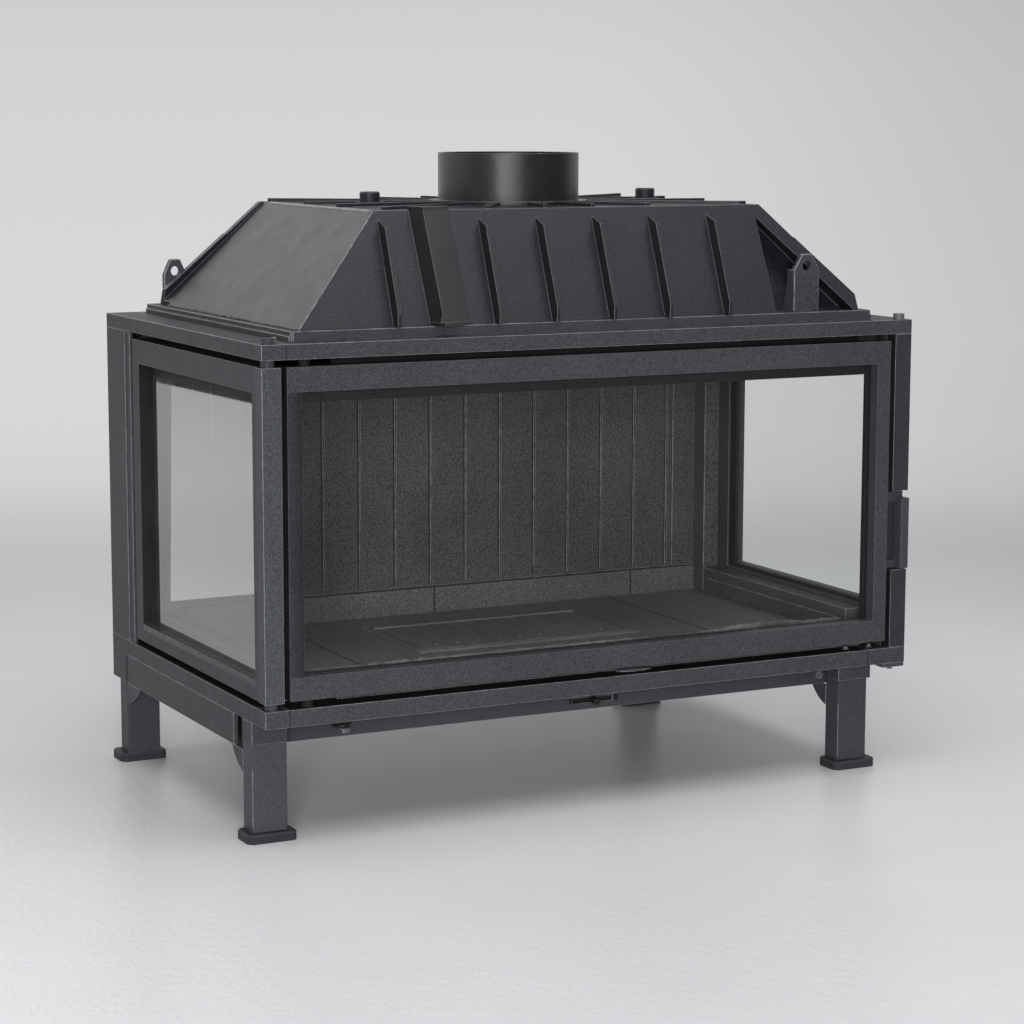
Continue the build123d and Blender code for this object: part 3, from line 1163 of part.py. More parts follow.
# Bolt heads: on the deck, on the front band and under the clip
with BuildPart() as bolt_heads:
    rod(RIGHT - PIVOT_INSET, FRONT + PIVOT_INSET, (Z_FLANGE, Z_FLANGE + BOLT_HEAD_H), BOLT_HEAD_R)
    rod(RIGHT - CLIP_INSET - CLIP_W / 2, FRONT + CLIP_INSET + CLIP_D / 2,
        (Z_BASE - CLIP_T - CLIP_HEAD_H, Z_BASE - CLIP_T), CLIP_HEAD_R)
    with BuildSketch(Plane.XZ.offset(-band_y[0])) as band_head:
        with Locations((BAND_BOLT_X, BAND_BOLT_Z)):
            Circle(BAND_BOLT_R)
    extrude(amount=BAND_BOLT_H)
bolt_heads.part.label = "bolt_heads"
export_step(bolt_heads.part, "parts/bolt_heads.step")
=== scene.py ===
import json
import math

import bmesh
import bpy
from mathutils import Matrix, Vector, noise


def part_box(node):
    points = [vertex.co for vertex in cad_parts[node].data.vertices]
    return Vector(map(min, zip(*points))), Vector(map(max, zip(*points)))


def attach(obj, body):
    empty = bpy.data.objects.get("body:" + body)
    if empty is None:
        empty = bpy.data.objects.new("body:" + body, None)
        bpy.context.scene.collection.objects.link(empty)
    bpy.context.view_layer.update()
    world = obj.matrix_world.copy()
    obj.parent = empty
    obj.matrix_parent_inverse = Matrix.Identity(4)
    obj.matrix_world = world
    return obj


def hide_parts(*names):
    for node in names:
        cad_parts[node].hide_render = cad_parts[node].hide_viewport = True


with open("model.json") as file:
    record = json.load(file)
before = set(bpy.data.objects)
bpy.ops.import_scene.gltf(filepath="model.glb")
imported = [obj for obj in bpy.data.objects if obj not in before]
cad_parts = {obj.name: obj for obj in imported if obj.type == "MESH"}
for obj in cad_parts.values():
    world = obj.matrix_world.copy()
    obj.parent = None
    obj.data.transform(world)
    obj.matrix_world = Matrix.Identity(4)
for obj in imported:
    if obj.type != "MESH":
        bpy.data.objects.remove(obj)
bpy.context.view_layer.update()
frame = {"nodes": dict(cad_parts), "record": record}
scene = bpy.context.scene
scene.view_settings.view_transform = "Standard"

# Camera, solved from the photograph's edges
CAMERA_PLACE = Vector((-1.7509, -3.4894, 0.9523))
CAMERA_YAW = math.radians(-26.818)
CAMERA_PITCH = math.radians(8.467)
CAMERA_ROLL = math.radians(-0.102)
CAMERA_LENS = 95.48
CAMERA_SENSOR = 36.0
CAMERA_NEAR = 0.05
CAMERA_FAR = 100.0


def add_camera():
    """The photograph's camera, with no shift."""
    data = bpy.data.cameras.new("camera")
    data.lens = CAMERA_LENS
    data.sensor_width = CAMERA_SENSOR
    data.clip_start = CAMERA_NEAR
    data.clip_end = CAMERA_FAR
    camera = bpy.data.objects.new("camera", data)
    scene.collection.objects.link(camera)
    level = math.cos(CAMERA_PITCH)
    back = Vector((math.sin(CAMERA_YAW) * level, -math.cos(CAMERA_YAW) * level, math.sin(CAMERA_PITCH)))
    right = Vector((math.cos(CAMERA_YAW), math.sin(CAMERA_YAW), 0.0))
    up = back.cross(right)
    turn = Matrix((right, up, back)).transposed() @ Matrix.Rotation(-CAMERA_ROLL, 3, "Z")
    camera.matrix_world = Matrix.Translation(CAMERA_PLACE) @ turn.to_4x4()
    scene.camera = camera


class Shader:
    """Short calls for the nodes of a material or of the world."""

    def __init__(self, owner, out="ShaderNodeOutputMaterial"):
        self.owner = owner
        owner.use_nodes = True
        self.nodes = owner.node_tree.nodes
        self.links = owner.node_tree.links
        self.nodes.clear()
        self.out = self.nodes.new(out)

    def node(self, kind, **settings):
        made = self.nodes.new(kind)
        for key, value in settings.items():
            setattr(made, key, value)
        return made

    def feed(self, value, socket):
        """Give a socket a number, a colour or another node's output."""
        if isinstance(value, (int, float)):
            socket.default_value = value
        elif isinstance(value, tuple):
            socket.default_value = (*value, 1.0)
        else:
            self.links.new(value, socket)

    def finish(self, shader):
        """Lead the last shader to the output, and return what it was made for."""
        self.feed(shader, self.out.inputs["Surface"])
        return self.owner

    def where(self):
        return self.node("ShaderNodeTexCoord").outputs["Object"]

    def parts(self, vector):
        """The X, Y and Z of a vector."""
        made = self.node("ShaderNodeSeparateXYZ")
        self.feed(vector, made.inputs[0])
        return made.outputs

    def noise(self, scale, detail, roughness):
        made = self.node("ShaderNodeTexNoise")
        made.inputs["Scale"].default_value = scale
        made.inputs["Detail"].default_value = detail
        made.inputs["Roughness"].default_value = roughness
        self.feed(self.where(), made.inputs["Vector"])
        return made.outputs["Fac"]

    def ramp(self, source, low, high, to_low=0.0, to_high=1.0, kind="LINEAR"):
        made = self.node("ShaderNodeMapRange", interpolation_type=kind)
        made.inputs["From Min"].default_value = low
        made.inputs["From Max"].default_value = high
        made.inputs["To Min"].default_value = to_low
        made.inputs["To Max"].default_value = to_high
        self.feed(source, made.inputs["Value"])
        return made.outputs["Result"]

    def maths(self, kind, first, second, clamp=False):
        made = self.node("ShaderNodeMath", operation=kind, use_clamp=clamp)
        self.feed(first, made.inputs[0])
        self.feed(second, made.inputs[1])
        return made.outputs[0]

    def mix(self, share, first, second):
        """Two colours, mixed by the second one's share."""
        made = self.node("ShaderNodeMix", data_type="RGBA")
        self.feed(share, made.inputs[0])
        self.feed(first, made.inputs[6])
        self.feed(second, made.inputs[7])
        return made.outputs[2]

    def blend(self, share, first, second):
        """Two shaders, mixed by the second one's share."""
        made = self.node("ShaderNodeMixShader")
        self.feed(share, made.inputs[0])
        self.feed(first, made.inputs[1])
        self.feed(second, made.inputs[2])
        return made.outputs[0]

    def scaled(self, tone, factor):
        made = self.node("ShaderNodeVectorMath", operation="SCALE")
        self.feed(tone, made.inputs[0])
        self.feed(factor, made.inputs["Scale"])
        return made.outputs[0]

    def bump(self, height, distance, normal=None):
        made = self.node("ShaderNodeBump")
        made.inputs["Strength"].default_value = 1.0
        made.inputs["Distance"].default_value = distance
        self.feed(height, made.inputs["Height"])
        if normal is not None:
            self.feed(normal, made.inputs["Normal"])
        return made.outputs["Normal"]

    def rounded(self, radius):
        made = self.node("ShaderNodeBevel", samples=4)
        made.inputs["Radius"].default_value = radius
        return made.outputs["Normal"]

    def edges(self, rounded):
        """Near 1 along the rounded edges, 0 on the flats."""
        flat = self.node("ShaderNodeNewGeometry").outputs["True Normal"]
        made = self.node("ShaderNodeVectorMath", operation="DOT_PRODUCT")
        self.feed(rounded, made.inputs[0])
        self.feed(flat, made.inputs[1])
        return self.ramp(made.outputs["Value"], 0.995, 0.80)

    def principled(self, tone, rough, normal, specular=0.5):
        made = self.node("ShaderNodeBsdfPrincipled")
        self.feed(tone, made.inputs["Base Color"])
        self.feed(rough, made.inputs["Roughness"])
        self.feed(specular, made.inputs["Specular IOR Level"])
        self.feed(normal, made.inputs["Normal"])
        return made.outputs["BSDF"]


def new_material(name):
    """A Shader for a new material."""
    return Shader(bpy.data.materials.new(name))


# Marks in the paint: each one's noise scale, and the span of the noise's values that it takes up
CLOUD_SCALE, CLOUD_SPAN = 7.0, (0.35, 0.68)
WEAR_SCALE, WEAR_SPAN = 60.0, (0.30, 0.62)
RUBBED_SCALE, RUBBED_SPAN = 35.0, (0.3, 0.7)
GRAIN_SPAN = (0.34, 0.66)
SPECK_SPAN = (0.64, 0.74)

# The fine grain and the specks against the coarse grain, and how far rubbing changes the roughness
FINE_SCALE, FINE_HEIGHT = 2.1, 0.4
SPECK_SCALE, SPECK_GLOW = 1.5, 3.0
RUBBED_ROUGH = (-0.02, 0.03)


def painted_iron(name, dark, light, grain, depth, rough, wear_and_highlight, edge, specular=0.5, specks=0.0, grit=0.28,
                 painted_shade_factor=None):
    """Painted cast iron: orange-peel grain in tone and height, pale specks, paler edges that are worn and
    carry a painted highlight. painted_shade_factor gives a factor on the tone over an area, for painted
    shade."""
    shader = new_material(name)
    rounded = shader.rounded(edge)
    coarse = shader.noise(grain, 2.0, 0.5)
    fine = shader.noise(grain * FINE_SCALE, 2.0, 0.5)
    clouds = shader.ramp(shader.noise(CLOUD_SCALE, 4.0, 0.5), *CLOUD_SPAN)
    tone = shader.mix(clouds, dark, light)
    tone = shader.scaled(tone, shader.ramp(coarse, *GRAIN_SPAN, 1.0 - grit, 1.0 + grit))
    if specks:
        bright = shader.ramp(shader.noise(grain * SPECK_SCALE, 1.0, 0.4), *SPECK_SPAN)
        glow = tuple(SPECK_GLOW * part for part in light)
        tone = shader.mix(shader.maths("MULTIPLY", bright, specks), tone, glow)
    if painted_shade_factor is not None:
        tone = shader.scaled(tone, painted_shade_factor(shader))
    # Paler edges: wear, and a painted highlight along them
    broken = shader.ramp(shader.noise(WEAR_SCALE, 4.0, 0.7), *WEAR_SPAN)
    bare = shader.maths("MULTIPLY", shader.edges(rounded), broken, clamp=True)
    tone = shader.mix(bare, tone, wear_and_highlight)
    height = shader.maths("ADD", coarse, shader.maths("MULTIPLY", fine, FINE_HEIGHT))
    low, high = RUBBED_ROUGH
    rubbed = shader.ramp(shader.noise(RUBBED_SCALE, 3.0, 0.5), *RUBBED_SPAN, rough + low, rough + high)
    return shader.finish(shader.principled(tone, rubbed, shader.bump(height, depth, rounded), specular))


# The front door's frame: its rails, its hinge stile, and how much painted shade darkens the stile's paint
# across it
DOOR_RAIL_LOW = 0.031
DOOR_RAIL_HIGH = 0.032
DOOR_STILE = 0.0205
STILE_PAINTED_SHADE = (0.28, 0.62)


def painted_stile_shade(shader):
    """Painted shade on the front door's hinge stile, darkest beside the glass."""
    low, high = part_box("door_frame")
    place = shader.parts(shader.where())
    above = shader.maths("GREATER_THAN", place["Z"], low[2] + DOOR_RAIL_LOW)
    below = shader.maths("LESS_THAN", place["Z"], high[2] - DOOR_RAIL_HIGH)
    hinge_side = shader.maths("LESS_THAN", place["X"], low[0] + DOOR_STILE)
    inside = shader.maths("MULTIPLY", hinge_side, shader.maths("MULTIPLY", above, below))
    depth = shader.ramp(place["X"], low[0], low[0] + DOOR_STILE, *STILE_PAINTED_SHADE)
    return shader.maths("SUBTRACT", 1.0, shader.maths("MULTIPLY", inside, depth))


def wear_and_highlight_edge(name, dark, light, rough):
    """Paint worn thin on an edge, with a painted highlight: broken pale line."""
    shader = new_material(name)
    tone = shader.mix(shader.ramp(shader.noise(85.0, 5.0, 0.75), 0.36, 0.60), dark, light)
    normal = shader.bump(shader.noise(900.0, 3.0, 0.6), 0.0001)
    return shader.finish(shader.principled(tone, rough, normal, 0.6))


DUST_TONE = (0.6, 0.6, 0.58)
DUST_SPAN = (0.3, 0.75)
GLASS_ROUGH = 0.02


def clear_glass(name, tint, ior, veil, coat=None):
    """Window glass: a tinted clear sheet with a mirror sheen, and a thin veil of dust. coat gives
    the extra sheen over the sheet, and 0 where the sheet has no sheen at all."""
    shader = new_material(name)
    through = shader.node("ShaderNodeBsdfTransparent")
    shader.feed(tint, through.inputs["Color"])
    gloss = shader.node("ShaderNodeBsdfGlossy")
    shader.feed(GLASS_ROUGH, gloss.inputs["Roughness"])
    fresnel = shader.node("ShaderNodeFresnel")
    shader.feed(ior, fresnel.inputs["IOR"])
    share = fresnel.outputs["Fac"]
    if coat is not None:
        sheen, kept = coat(shader)
        share = shader.maths("MULTIPLY", shader.maths("MAXIMUM", share, sheen), kept)
    inner = shader.node("ShaderNodeNewGeometry").outputs["Backfacing"]
    share = shader.maths("MULTIPLY", share, shader.maths("SUBTRACT", 1.0, inner))
    sheet = shader.blend(share, through.outputs[0], gloss.outputs[0])
    dust = shader.node("ShaderNodeBsdfDiffuse")
    shader.feed(DUST_TONE, dust.inputs["Color"])
    dusty = shader.ramp(shader.noise(14.0, 5.0, 0.6), *DUST_SPAN, veil * 0.5, veil * 1.4)
    return shader.finish(shader.blend(dusty, sheet, dust.outputs[0]))


# Left glass: the coat's edges, each a line through two (y, z) points of the sheet, their softness, and
# how much the sheet mirrors outside the coat and, from its head to its foot, inside it
COAT_REAR = ((0.0729, 0.574), (0.0915, 0.2625))
COAT_FOOT = ((0.0915, 0.2625), (-0.220, 0.323))
COAT_HEAD = ((-0.2280, 0.5748), (0.1736, 0.5690))
COAT_SOFT = 0.0012
COAT_OUTSIDE = 0.41
COAT_INSIDE = (0.60, 0.98)


def half_plane(shader, place, first, second):
    """1 on one side of the line through two points of the sheet, 0 on the other."""
    along = Vector((second[0] - first[0], second[1] - first[1])).normalized()
    normal = Vector((along.y, -along.x))
    y = shader.maths("MULTIPLY", place["Y"], normal.x)
    z = shader.maths("MULTIPLY", place["Z"], normal.y)
    reach = shader.maths("SUBTRACT", shader.maths("ADD", y, z), normal.dot(Vector(first)))
    return shader.ramp(reach, -COAT_SOFT, COAT_SOFT)


def left_coat(shader):
    """The left glass's extra sheen, on its outer face, and its bare head band."""
    place = shader.parts(shader.where())
    in_front = half_plane(shader, place, *COAT_REAR)
    above_foot = half_plane(shader, place, *COAT_FOOT)
    both = shader.maths("MULTIPLY", in_front, above_foot)
    strength = shader.ramp(place["Z"], COAT_REAR[0][1], COAT_REAR[1][1], *COAT_INSIDE)
    share = shader.maths("MAXIMUM", shader.maths("MULTIPLY", both, strength), COAT_OUTSIDE)
    low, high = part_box("left_glass")
    outside = shader.maths("LESS_THAN", place["X"], (low[0] + high[0]) / 2)
    return shader.maths("MULTIPLY", share, outside), half_plane(shader, place, *COAT_HEAD)


def rope_fibre(name, dark, light):
    """Woven glass rope."""
    shader = new_material(name)
    strands = shader.node("ShaderNodeTexWave", wave_type="BANDS", bands_direction="DIAGONAL")
    shader.feed(110.0, strands.inputs["Scale"])
    shader.feed(3.0, strands.inputs["Distortion"])
    shader.feed(shader.where(), strands.inputs["Vector"])
    woven = strands.outputs["Fac"]
    return shader.finish(shader.principled(shader.mix(woven, dark, light), 0.9, shader.bump(woven, 0.0006)))


# Floor: its tones, where it starts and ends to fade, and its radius
FLOOR_TONE = ((0.595, 0.60, 0.61), (0.645, 0.65, 0.66))
FLOOR_FADE = (1.35, 2.4)
FLOOR_REACH = 2.6


def floor_material():
    """Pale satin studio floor that fades into the background away from the object."""
    shader = new_material("floor")
    away = shader.node("ShaderNodeVectorMath", operation="LENGTH")
    shader.feed(shader.where(), away.inputs[0])
    fade = shader.ramp(away.outputs["Value"], *FLOOR_FADE)
    tone = shader.mix(shader.ramp(shader.noise(1.4, 5.0, 0.55), 0.3, 0.7), *FLOOR_TONE)
    solid = shader.principled(tone, 0.32, shader.bump(shader.noise(55.0, 5.0, 0.7), 0.0008), 0.35)
    clear = shader.node("ShaderNodeBsdfTransparent").outputs[0]
    return shader.finish(shader.blend(fade, solid, clear))


def add_floor():
    """The round floor under the object."""
    mesh = bpy.data.meshes.new("floor")
    made = bmesh.new()
    bmesh.ops.create_circle(made, cap_ends=True, segments=96, radius=FLOOR_REACH)
    made.to_mesh(mesh)
    made.free()
    floor = bpy.data.objects.new("floor", mesh)
    scene.collection.objects.link(floor)
    mesh.materials.append(floor_material())


# Backdrop: the heights of its lowest and highest tone, the tones from bottom to top, and its tint
BACKDROP_SPAN = (-0.30, 0.70)
BACKDROP_TONES = (
    (0.0, 0.72), (0.084, 0.64), (0.106, 0.58), (0.122, 0.535), (0.139, 0.535), (0.153, 0.575), (0.163, 0.64),
    (0.180, 0.68), (0.22, 0.695), (0.28, 0.675), (0.315, 0.655), (0.345, 0.62), (0.45, 0.60), (1.0, 0.45),
)
BACKDROP_TINT = (0.985, 0.99, 1.005)

# Darker towards the right, and behind the camera where only gloss and glass see it. Then the fill light
RIGHT_SPAN, RIGHT_SHARE = (0.46, 0.66), (1.0, 0.78)
BEHIND_SPAN, BEHIND_SHARE = (-0.3, 0.25), (0.25, 1.0)
FILL_TONE = (0.93, 0.96, 1.0)
FILL_STRENGTH = 0.30


def backdrop_tones(shader, height):
    """The backdrop's tone at a height."""
    made = shader.node("ShaderNodeValToRGB")
    shader.feed(height, made.inputs["Fac"])
    stops = made.color_ramp.elements
    while len(stops) > 1:
        stops.remove(stops[0])
    for index, (at, tone) in enumerate(BACKDROP_TONES):
        stop = stops[0] if index == 0 else stops.new(at)
        stop.position = at
        stop.color = (*(tone * tint for tint in BACKDROP_TINT), 1.0)
    return made.outputs["Color"]


def add_world():
    """Pale background seen by the camera, gloss and glass, and a plain level of fill light."""
    shader = Shader(bpy.data.worlds.new("world"), "ShaderNodeOutputWorld")
    ray = shader.node("ShaderNodeLightPath").outputs
    place = shader.parts(shader.node("ShaderNodeTexCoord").outputs["Generated"])
    tone = backdrop_tones(shader, shader.ramp(place["Z"], *BACKDROP_SPAN))
    right = shader.ramp(place["X"], *RIGHT_SPAN, *RIGHT_SHARE, kind="SMOOTHSTEP")
    behind = shader.ramp(place["Y"], *BEHIND_SPAN, *BEHIND_SHARE, kind="SMOOTHSTEP")
    share = shader.maths("MULTIPLY", right, shader.maths("MAXIMUM", behind, ray["Is Camera Ray"]))
    shown = shader.node("ShaderNodeBackground")
    shader.feed(shader.scaled(tone, share), shown.inputs["Color"])
    fill = shader.node("ShaderNodeBackground")
    shader.feed(FILL_TONE, fill.inputs["Color"])
    shader.feed(FILL_STRENGTH, fill.inputs["Strength"])
    bent = shader.maths("MAXIMUM", ray["Is Glossy Ray"], ray["Is Transmission Ray"])
    seen = shader.maths("MAXIMUM", ray["Is Camera Ray"], bent)
    scene.world = shader.finish(shader.blend(seen, fill.outputs[0], shown.outputs[0]))


def add_light(name, place, aim, size, power, mirrored=True):
    """A soft box. mirrored says whether gloss shows it."""
    data = bpy.data.lights.new(name, "AREA")
    data.shape = "RECTANGLE"
    data.size, data.size_y = size
    data.energy = power
    lamp = bpy.data.objects.new(name, data)
    scene.collection.objects.link(lamp)
    lamp.location = place
    lamp.visible_glossy = mirrored
    lamp.rotation_mode = "QUATERNION"
    lamp.rotation_quaternion = (Vector(aim) - Vector(place)).to_track_quat("-Z", "Y")


# The front light is two boxes in one place, of which gloss shows the second
FRONT_PLACE = (-2.7, -5.44, 1.04)
FRONT_AIM = (-0.3, 0.0, 0.4)
FRONT_SIZE = (1.6, 1.92)


def add_lights():
    """One large box above, the front pair, and weak ones at the left, near the post and behind."""
    add_light("left_box", (-3.4, -1.6, 1.5), (0.0, 0.0, 0.5), (1.6, 2.2), 2.5)
    add_light("near_strip", (-1.62, -2.18, 0.75), (-0.2, -0.3, 0.4), (0.28, 1.2), 6.0)
    add_light("top_box", (0.0, -0.9, 3.4), (0.0, 0.0, 0.4), (4.0, 3.2), 108.0)
    add_light("front_box", FRONT_PLACE, FRONT_AIM, FRONT_SIZE, 168.0, mirrored=False)
    add_light("front_shine", FRONT_PLACE, FRONT_AIM, FRONT_SIZE, 142.0)
    add_light("back_box", (-0.75, 3.6, 2.3), (-0.36, 0.0, 0.74), (2.2, 1.6), 14.0)


def add_piece(name, made, body, slot, *materials):
    """Turn a bmesh into an object that rides on a body."""
    mesh = bpy.data.meshes.new(name)
    made.to_mesh(mesh)
    made.free()
    piece = bpy.data.objects.new(name, mesh)
    scene.collection.objects.link(piece)
    for material in materials:
        mesh.materials.append(material)
    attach(piece, body)
    return piece


# Nodes that get real rounded-off edges, by the width of the bevel
EDGED = {
    0.0007: ("door_frame", "left_frame", "right_frame", "corner_post", "right_column", "rear_column_left",
             "rear_column_right", "front_band", "side_bands", "rear_band", "bottom_frame", "top_frame",
             "hinge_blocks", "rear_corner_blocks", "right_corner_block", "outer_back", "corner_clip",
             "leg_brackets", "leg_front_left", "leg_front_right", "leg_rear_left", "leg_rear_right"),
    0.0014: ("hood", "hood_flange", "lifting_lugs", "foot_plates"),
    0.0009: ("hearth_plates", "plinth_plates", "back_panel", "infill_panels", "inner_columns", "side_walls",
             "side_sills", "door_sill", "grate", "right_jamb", "lintels"),
}

# Edges that are rounded: sharper than SHARP and longer than LONG. Faces flatter than FLAT are joined first
SHARP = math.radians(25.0)
LONG = 0.006
FLAT = math.radians(0.5)
WELD = 1e-6

# Material places on a rounded piece: its paint, its edges, its dark faces and a flank with painted light
PAINT, EDGE, DARK, FLANK = range(4)

# How nearly a face looks along an axis: fully, as a fin's flank does, aslant, and hardly at all
FACING = 0.9
FIN_FACING = 0.97
WEDGE_FACING = 0.2
UPRIGHT = 0.3

# Where the dark finish goes: painted shade on faces across the gaps beside the door, on decks and in
# grooves; dark joints at seams
GAP_SIDES = {"door_frame": (-1.0, 1.0), "corner_post": (1.0,), "right_column": (-1.0,)}
GAP_REACH = 0.003
DECKS = {"bottom_frame": 1.0, "top_frame": -1.0}
SEAMED = ("hinge_blocks", "rear_corner_blocks", "right_corner_block", "bottom_frame", "top_frame")
CORNER_REACH = 0.004
GROOVE_SUNK = 0.0008

# The hood's wedge rib: its reach in x, the y it starts at, and its foot, which takes the right flank's paint
# with painted light
WEDGE_SPAN = (-0.290, -0.130)
WEDGE_Y = -0.150
WEDGE_FOOT = 0.022
FOOT_LINE_Y = -0.2735


def at_outer_corner(place):
    """True near one of the four upright corners of the body."""
    low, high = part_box("hinge_blocks")[0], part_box("rear_corner_blocks")[1]
    near_x = min(abs(place.x - low[0]), abs(place.x - high[0])) < CORNER_REACH
    near_y = min(abs(place.y - low[1]), abs(place.y - high[1])) < CORNER_REACH
    return near_x and near_y


def hood_finish(face, centre, foot):
    """The finish of one of the hood's faces: painted shade on the fins' flanks; on the wedge rib, painted
    shade on its left side, painted light on its right side, and the right side's lighter paint on its foot.
    """
    finish = face.material_index
    # Painted shade on the fins' flanks
    if finish == PAINT and abs(face.normal.x) > FIN_FACING:
        finish = DARK
    if not WEDGE_SPAN[0] < centre.x < WEDGE_SPAN[1] or centre.y >= WEDGE_Y:
        return finish
    # Painted shade on the wedge's left side, painted light on its right side
    if finish != EDGE and abs(face.normal.x) > WEDGE_FACING:
        finish = DARK if face.normal.x < 0.0 else FLANK
    if finish in (PAINT, EDGE) and centre.z < foot + WEDGE_FOOT and centre.y < FOOT_LINE_Y:
        finish = FLANK
    return finish


def is_dark(name, face, centre, low, high):
    """True where a face takes the dark finish: painted shade in a gap, on a deck, in a reveal or groove; a
    dark joint at a seam.
    """
    normal = face.normal
    for side in GAP_SIDES.get(name, ()):
        plane = low[0] if side < 0 else high[0]
        if normal.x * side > FACING and abs(centre.x - plane) < GAP_REACH:
            return True
    if name == "left_frame":
        return normal.y < -FACING and centre.y > 0.0
    if face.material_index == EDGE:
        return name in SEAMED and abs(normal.z) < UPRIGHT and not at_outer_corner(centre)
    if name in DECKS:
        return normal.z * DECKS[name] > FACING
    if name == "back_panel":
        sunk = normal.y < -FACING and centre.y > low[1] + GROOVE_SUNK
        return sunk or abs(normal.x) > UPRIGHT
    return False


def clean_copy(name):
    """A bmesh of a node, with doubled points welded and flat faces joined."""
    made = bmesh.new()
    made.from_mesh(frame["nodes"][name].data)
    bmesh.ops.remove_doubles(made, verts=made.verts, dist=WELD)
    bmesh.ops.dissolve_limit(made, angle_limit=FLAT, verts=made.verts, edges=made.edges)
    return made


def is_sharp(line):
    """True for an edge long and sharp enough to be rounded."""
    return line.is_manifold and line.calc_face_angle() > SHARP and line.calc_length() > LONG


def soften(name, body, slot, width, *finishes):
    """Replace a node by a copy with bevelled long edges. finishes are its paint, its edges (worn, with a
    painted highlight), its dark faces (soot, dark joints and painted shade) and the wedge rib's flank with
    painted light."""
    made = clean_copy(name)
    sharp = [line for line in made.edges if is_sharp(line)]
    for face in made.faces:
        face.material_index = PAINT
        face.smooth = False
    bmesh.ops.bevel(made, geom=sharp, offset=width, offset_type="OFFSET", segments=2, profile=0.5,
                    affect="EDGES", clamp_overlap=True, material=EDGE)
    low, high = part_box(name)
    for face in made.faces:
        centre = face.calc_center_median()
        if name == "hood":
            face.material_index = hood_finish(face, centre, low[2])
        elif is_dark(name, face, centre, low, high):
            face.material_index = DARK
    piece = add_piece(name + "_cast", made, body, slot, *finishes)
    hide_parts(name)


BACKWARD = Vector((0.0, 1.0, 0.0))
UPWARD = Vector((0.0, 0.0, 1.0))


def tube(name, rings, body, slot, material, sides):
    """A closed tube through (centre, radius) rings."""
    made = bmesh.new()
    loops = []
    for index, (centre, radius) in enumerate(rings):
        before = rings[max(index - 1, 0)][0]
        after = rings[min(index + 1, len(rings) - 1)][0]
        along = (after - before).normalized()
        across = BACKWARD if abs(along.z) > FACING else UPWARD
        side = along.cross(across).normalized()
        up = side.cross(along)
        loop = []
        for step in range(sides):
            turn = 2.0 * math.pi * step / sides
            reach = side * math.cos(turn) + up * math.sin(turn)
            loop.append(made.verts.new(centre + reach * radius))
        loops.append(loop)
    for low, high in zip(loops[:-1], loops[1:]):
        for step in range(sides):
            after = (step + 1) % sides
            face = made.faces.new((low[step], low[after], high[after], high[step]))
            face.smooth = True
    made.faces.new(tuple(reversed(loops[0])))
    made.faces.new(tuple(loops[-1]))
    bmesh.ops.recalc_face_normals(made, faces=made.faces)
    return add_piece(name, made, body, slot, material)


LUMPS_PER_METRE = 90.0
END_TAPER = 0.55


def lumpy(start, end, radius, lumps, pitch, seed):
    """Rings from start to end whose radius wanders by a share, lumps, every pitch."""
    start, end = Vector(start), Vector(end)
    count = max(2, round((end - start).length / pitch))
    rings = []
    for index in range(count + 1):
        place = start.lerp(end, index / count)
        wander = noise.noise(place * LUMPS_PER_METRE + Vector((seed, 0.0, 0.0)))
        taper = END_TAPER if index in (0, count) else 1.0
        rings.append((place, radius * taper * (1.0 + lumps * wander)))
    return rings


def bar(name, low, high, bevel, body, slot, material):
    """A small forged bar or plate with rounded edges."""
    low, high = Vector(low), Vector(high)
    middle, size = (low + high) / 2, high - low
    made = bmesh.new()
    bmesh.ops.create_cube(made, size=1.0)
    for vertex in made.verts:
        vertex.co = middle + vertex.co * size
    bmesh.ops.bevel(made, geom=made.edges[:], offset=bevel, segments=3, profile=0.5, affect="EDGES",
                    clamp_overlap=True)
    return add_piece(name, made, body, slot, material)


# Bolt head, as shares of its radius and height: the washer's and the top's width, and the levels between
WASHER_WIDTH, CROWN_WIDTH = 1.45, 0.82
WASHER_TOP, FLATS_FOOT, FLATS_TOP = 0.22, 0.24, 0.80


def hex_head(name, place, radius, height, body, slot, material):
    """An upright bolt head with six flats, a washer below it and a domed top."""
    washer, crown = radius * WASHER_WIDTH, radius * CROWN_WIDTH
    levels = (
        (24, washer, 0.0, washer, height * WASHER_TOP),
        (6, radius, height * FLATS_FOOT, radius, height * FLATS_TOP),
        (6, radius, height * FLATS_TOP, crown, height),
    )
    made = bmesh.new()
    for sides, low_radius, low, high_radius, high in levels:
        middle = Vector(place) + Vector((0.0, 0.0, (low + high) / 2))
        bmesh.ops.create_cone(made, cap_ends=True, segments=sides, radius1=low_radius, radius2=high_radius,
                              depth=high - low, matrix=Matrix.Translation(middle))
    return add_piece(name, made, body, slot, material)


# Burnt crust along the log guard: its roll, and the ragged swell near its right end
CRUST_R = 0.0036
CRUST_SUNK = 0.4
CRUST_LUMPS = 0.65
CRUST_PITCH = 0.0035
CRUST_RISE = 0.0050
CRUST_SWELL_X = 0.300
CRUST_SWELL_W = 0.060
CRUST_RAGS = 60.0

# Rails beside the grate, as (left x, right x, y), the grate's pegs, and the ridges near its two ends
RAIL_FRONT = (-0.176, 0.178, -0.086)
RAIL_REAR = (-0.162, 0.172, 0.103)
RAIL_W = 0.006
RAIL_FRONT_H = 0.004
RAIL_REAR_H = 0.0024
PEG_H = 0.002
RIDGE_INSETS = (0.005, 0.010)
RIDGE_R = 0.0011
RIDGE_END = 0.004
RIDGE_PITCH = 0.006


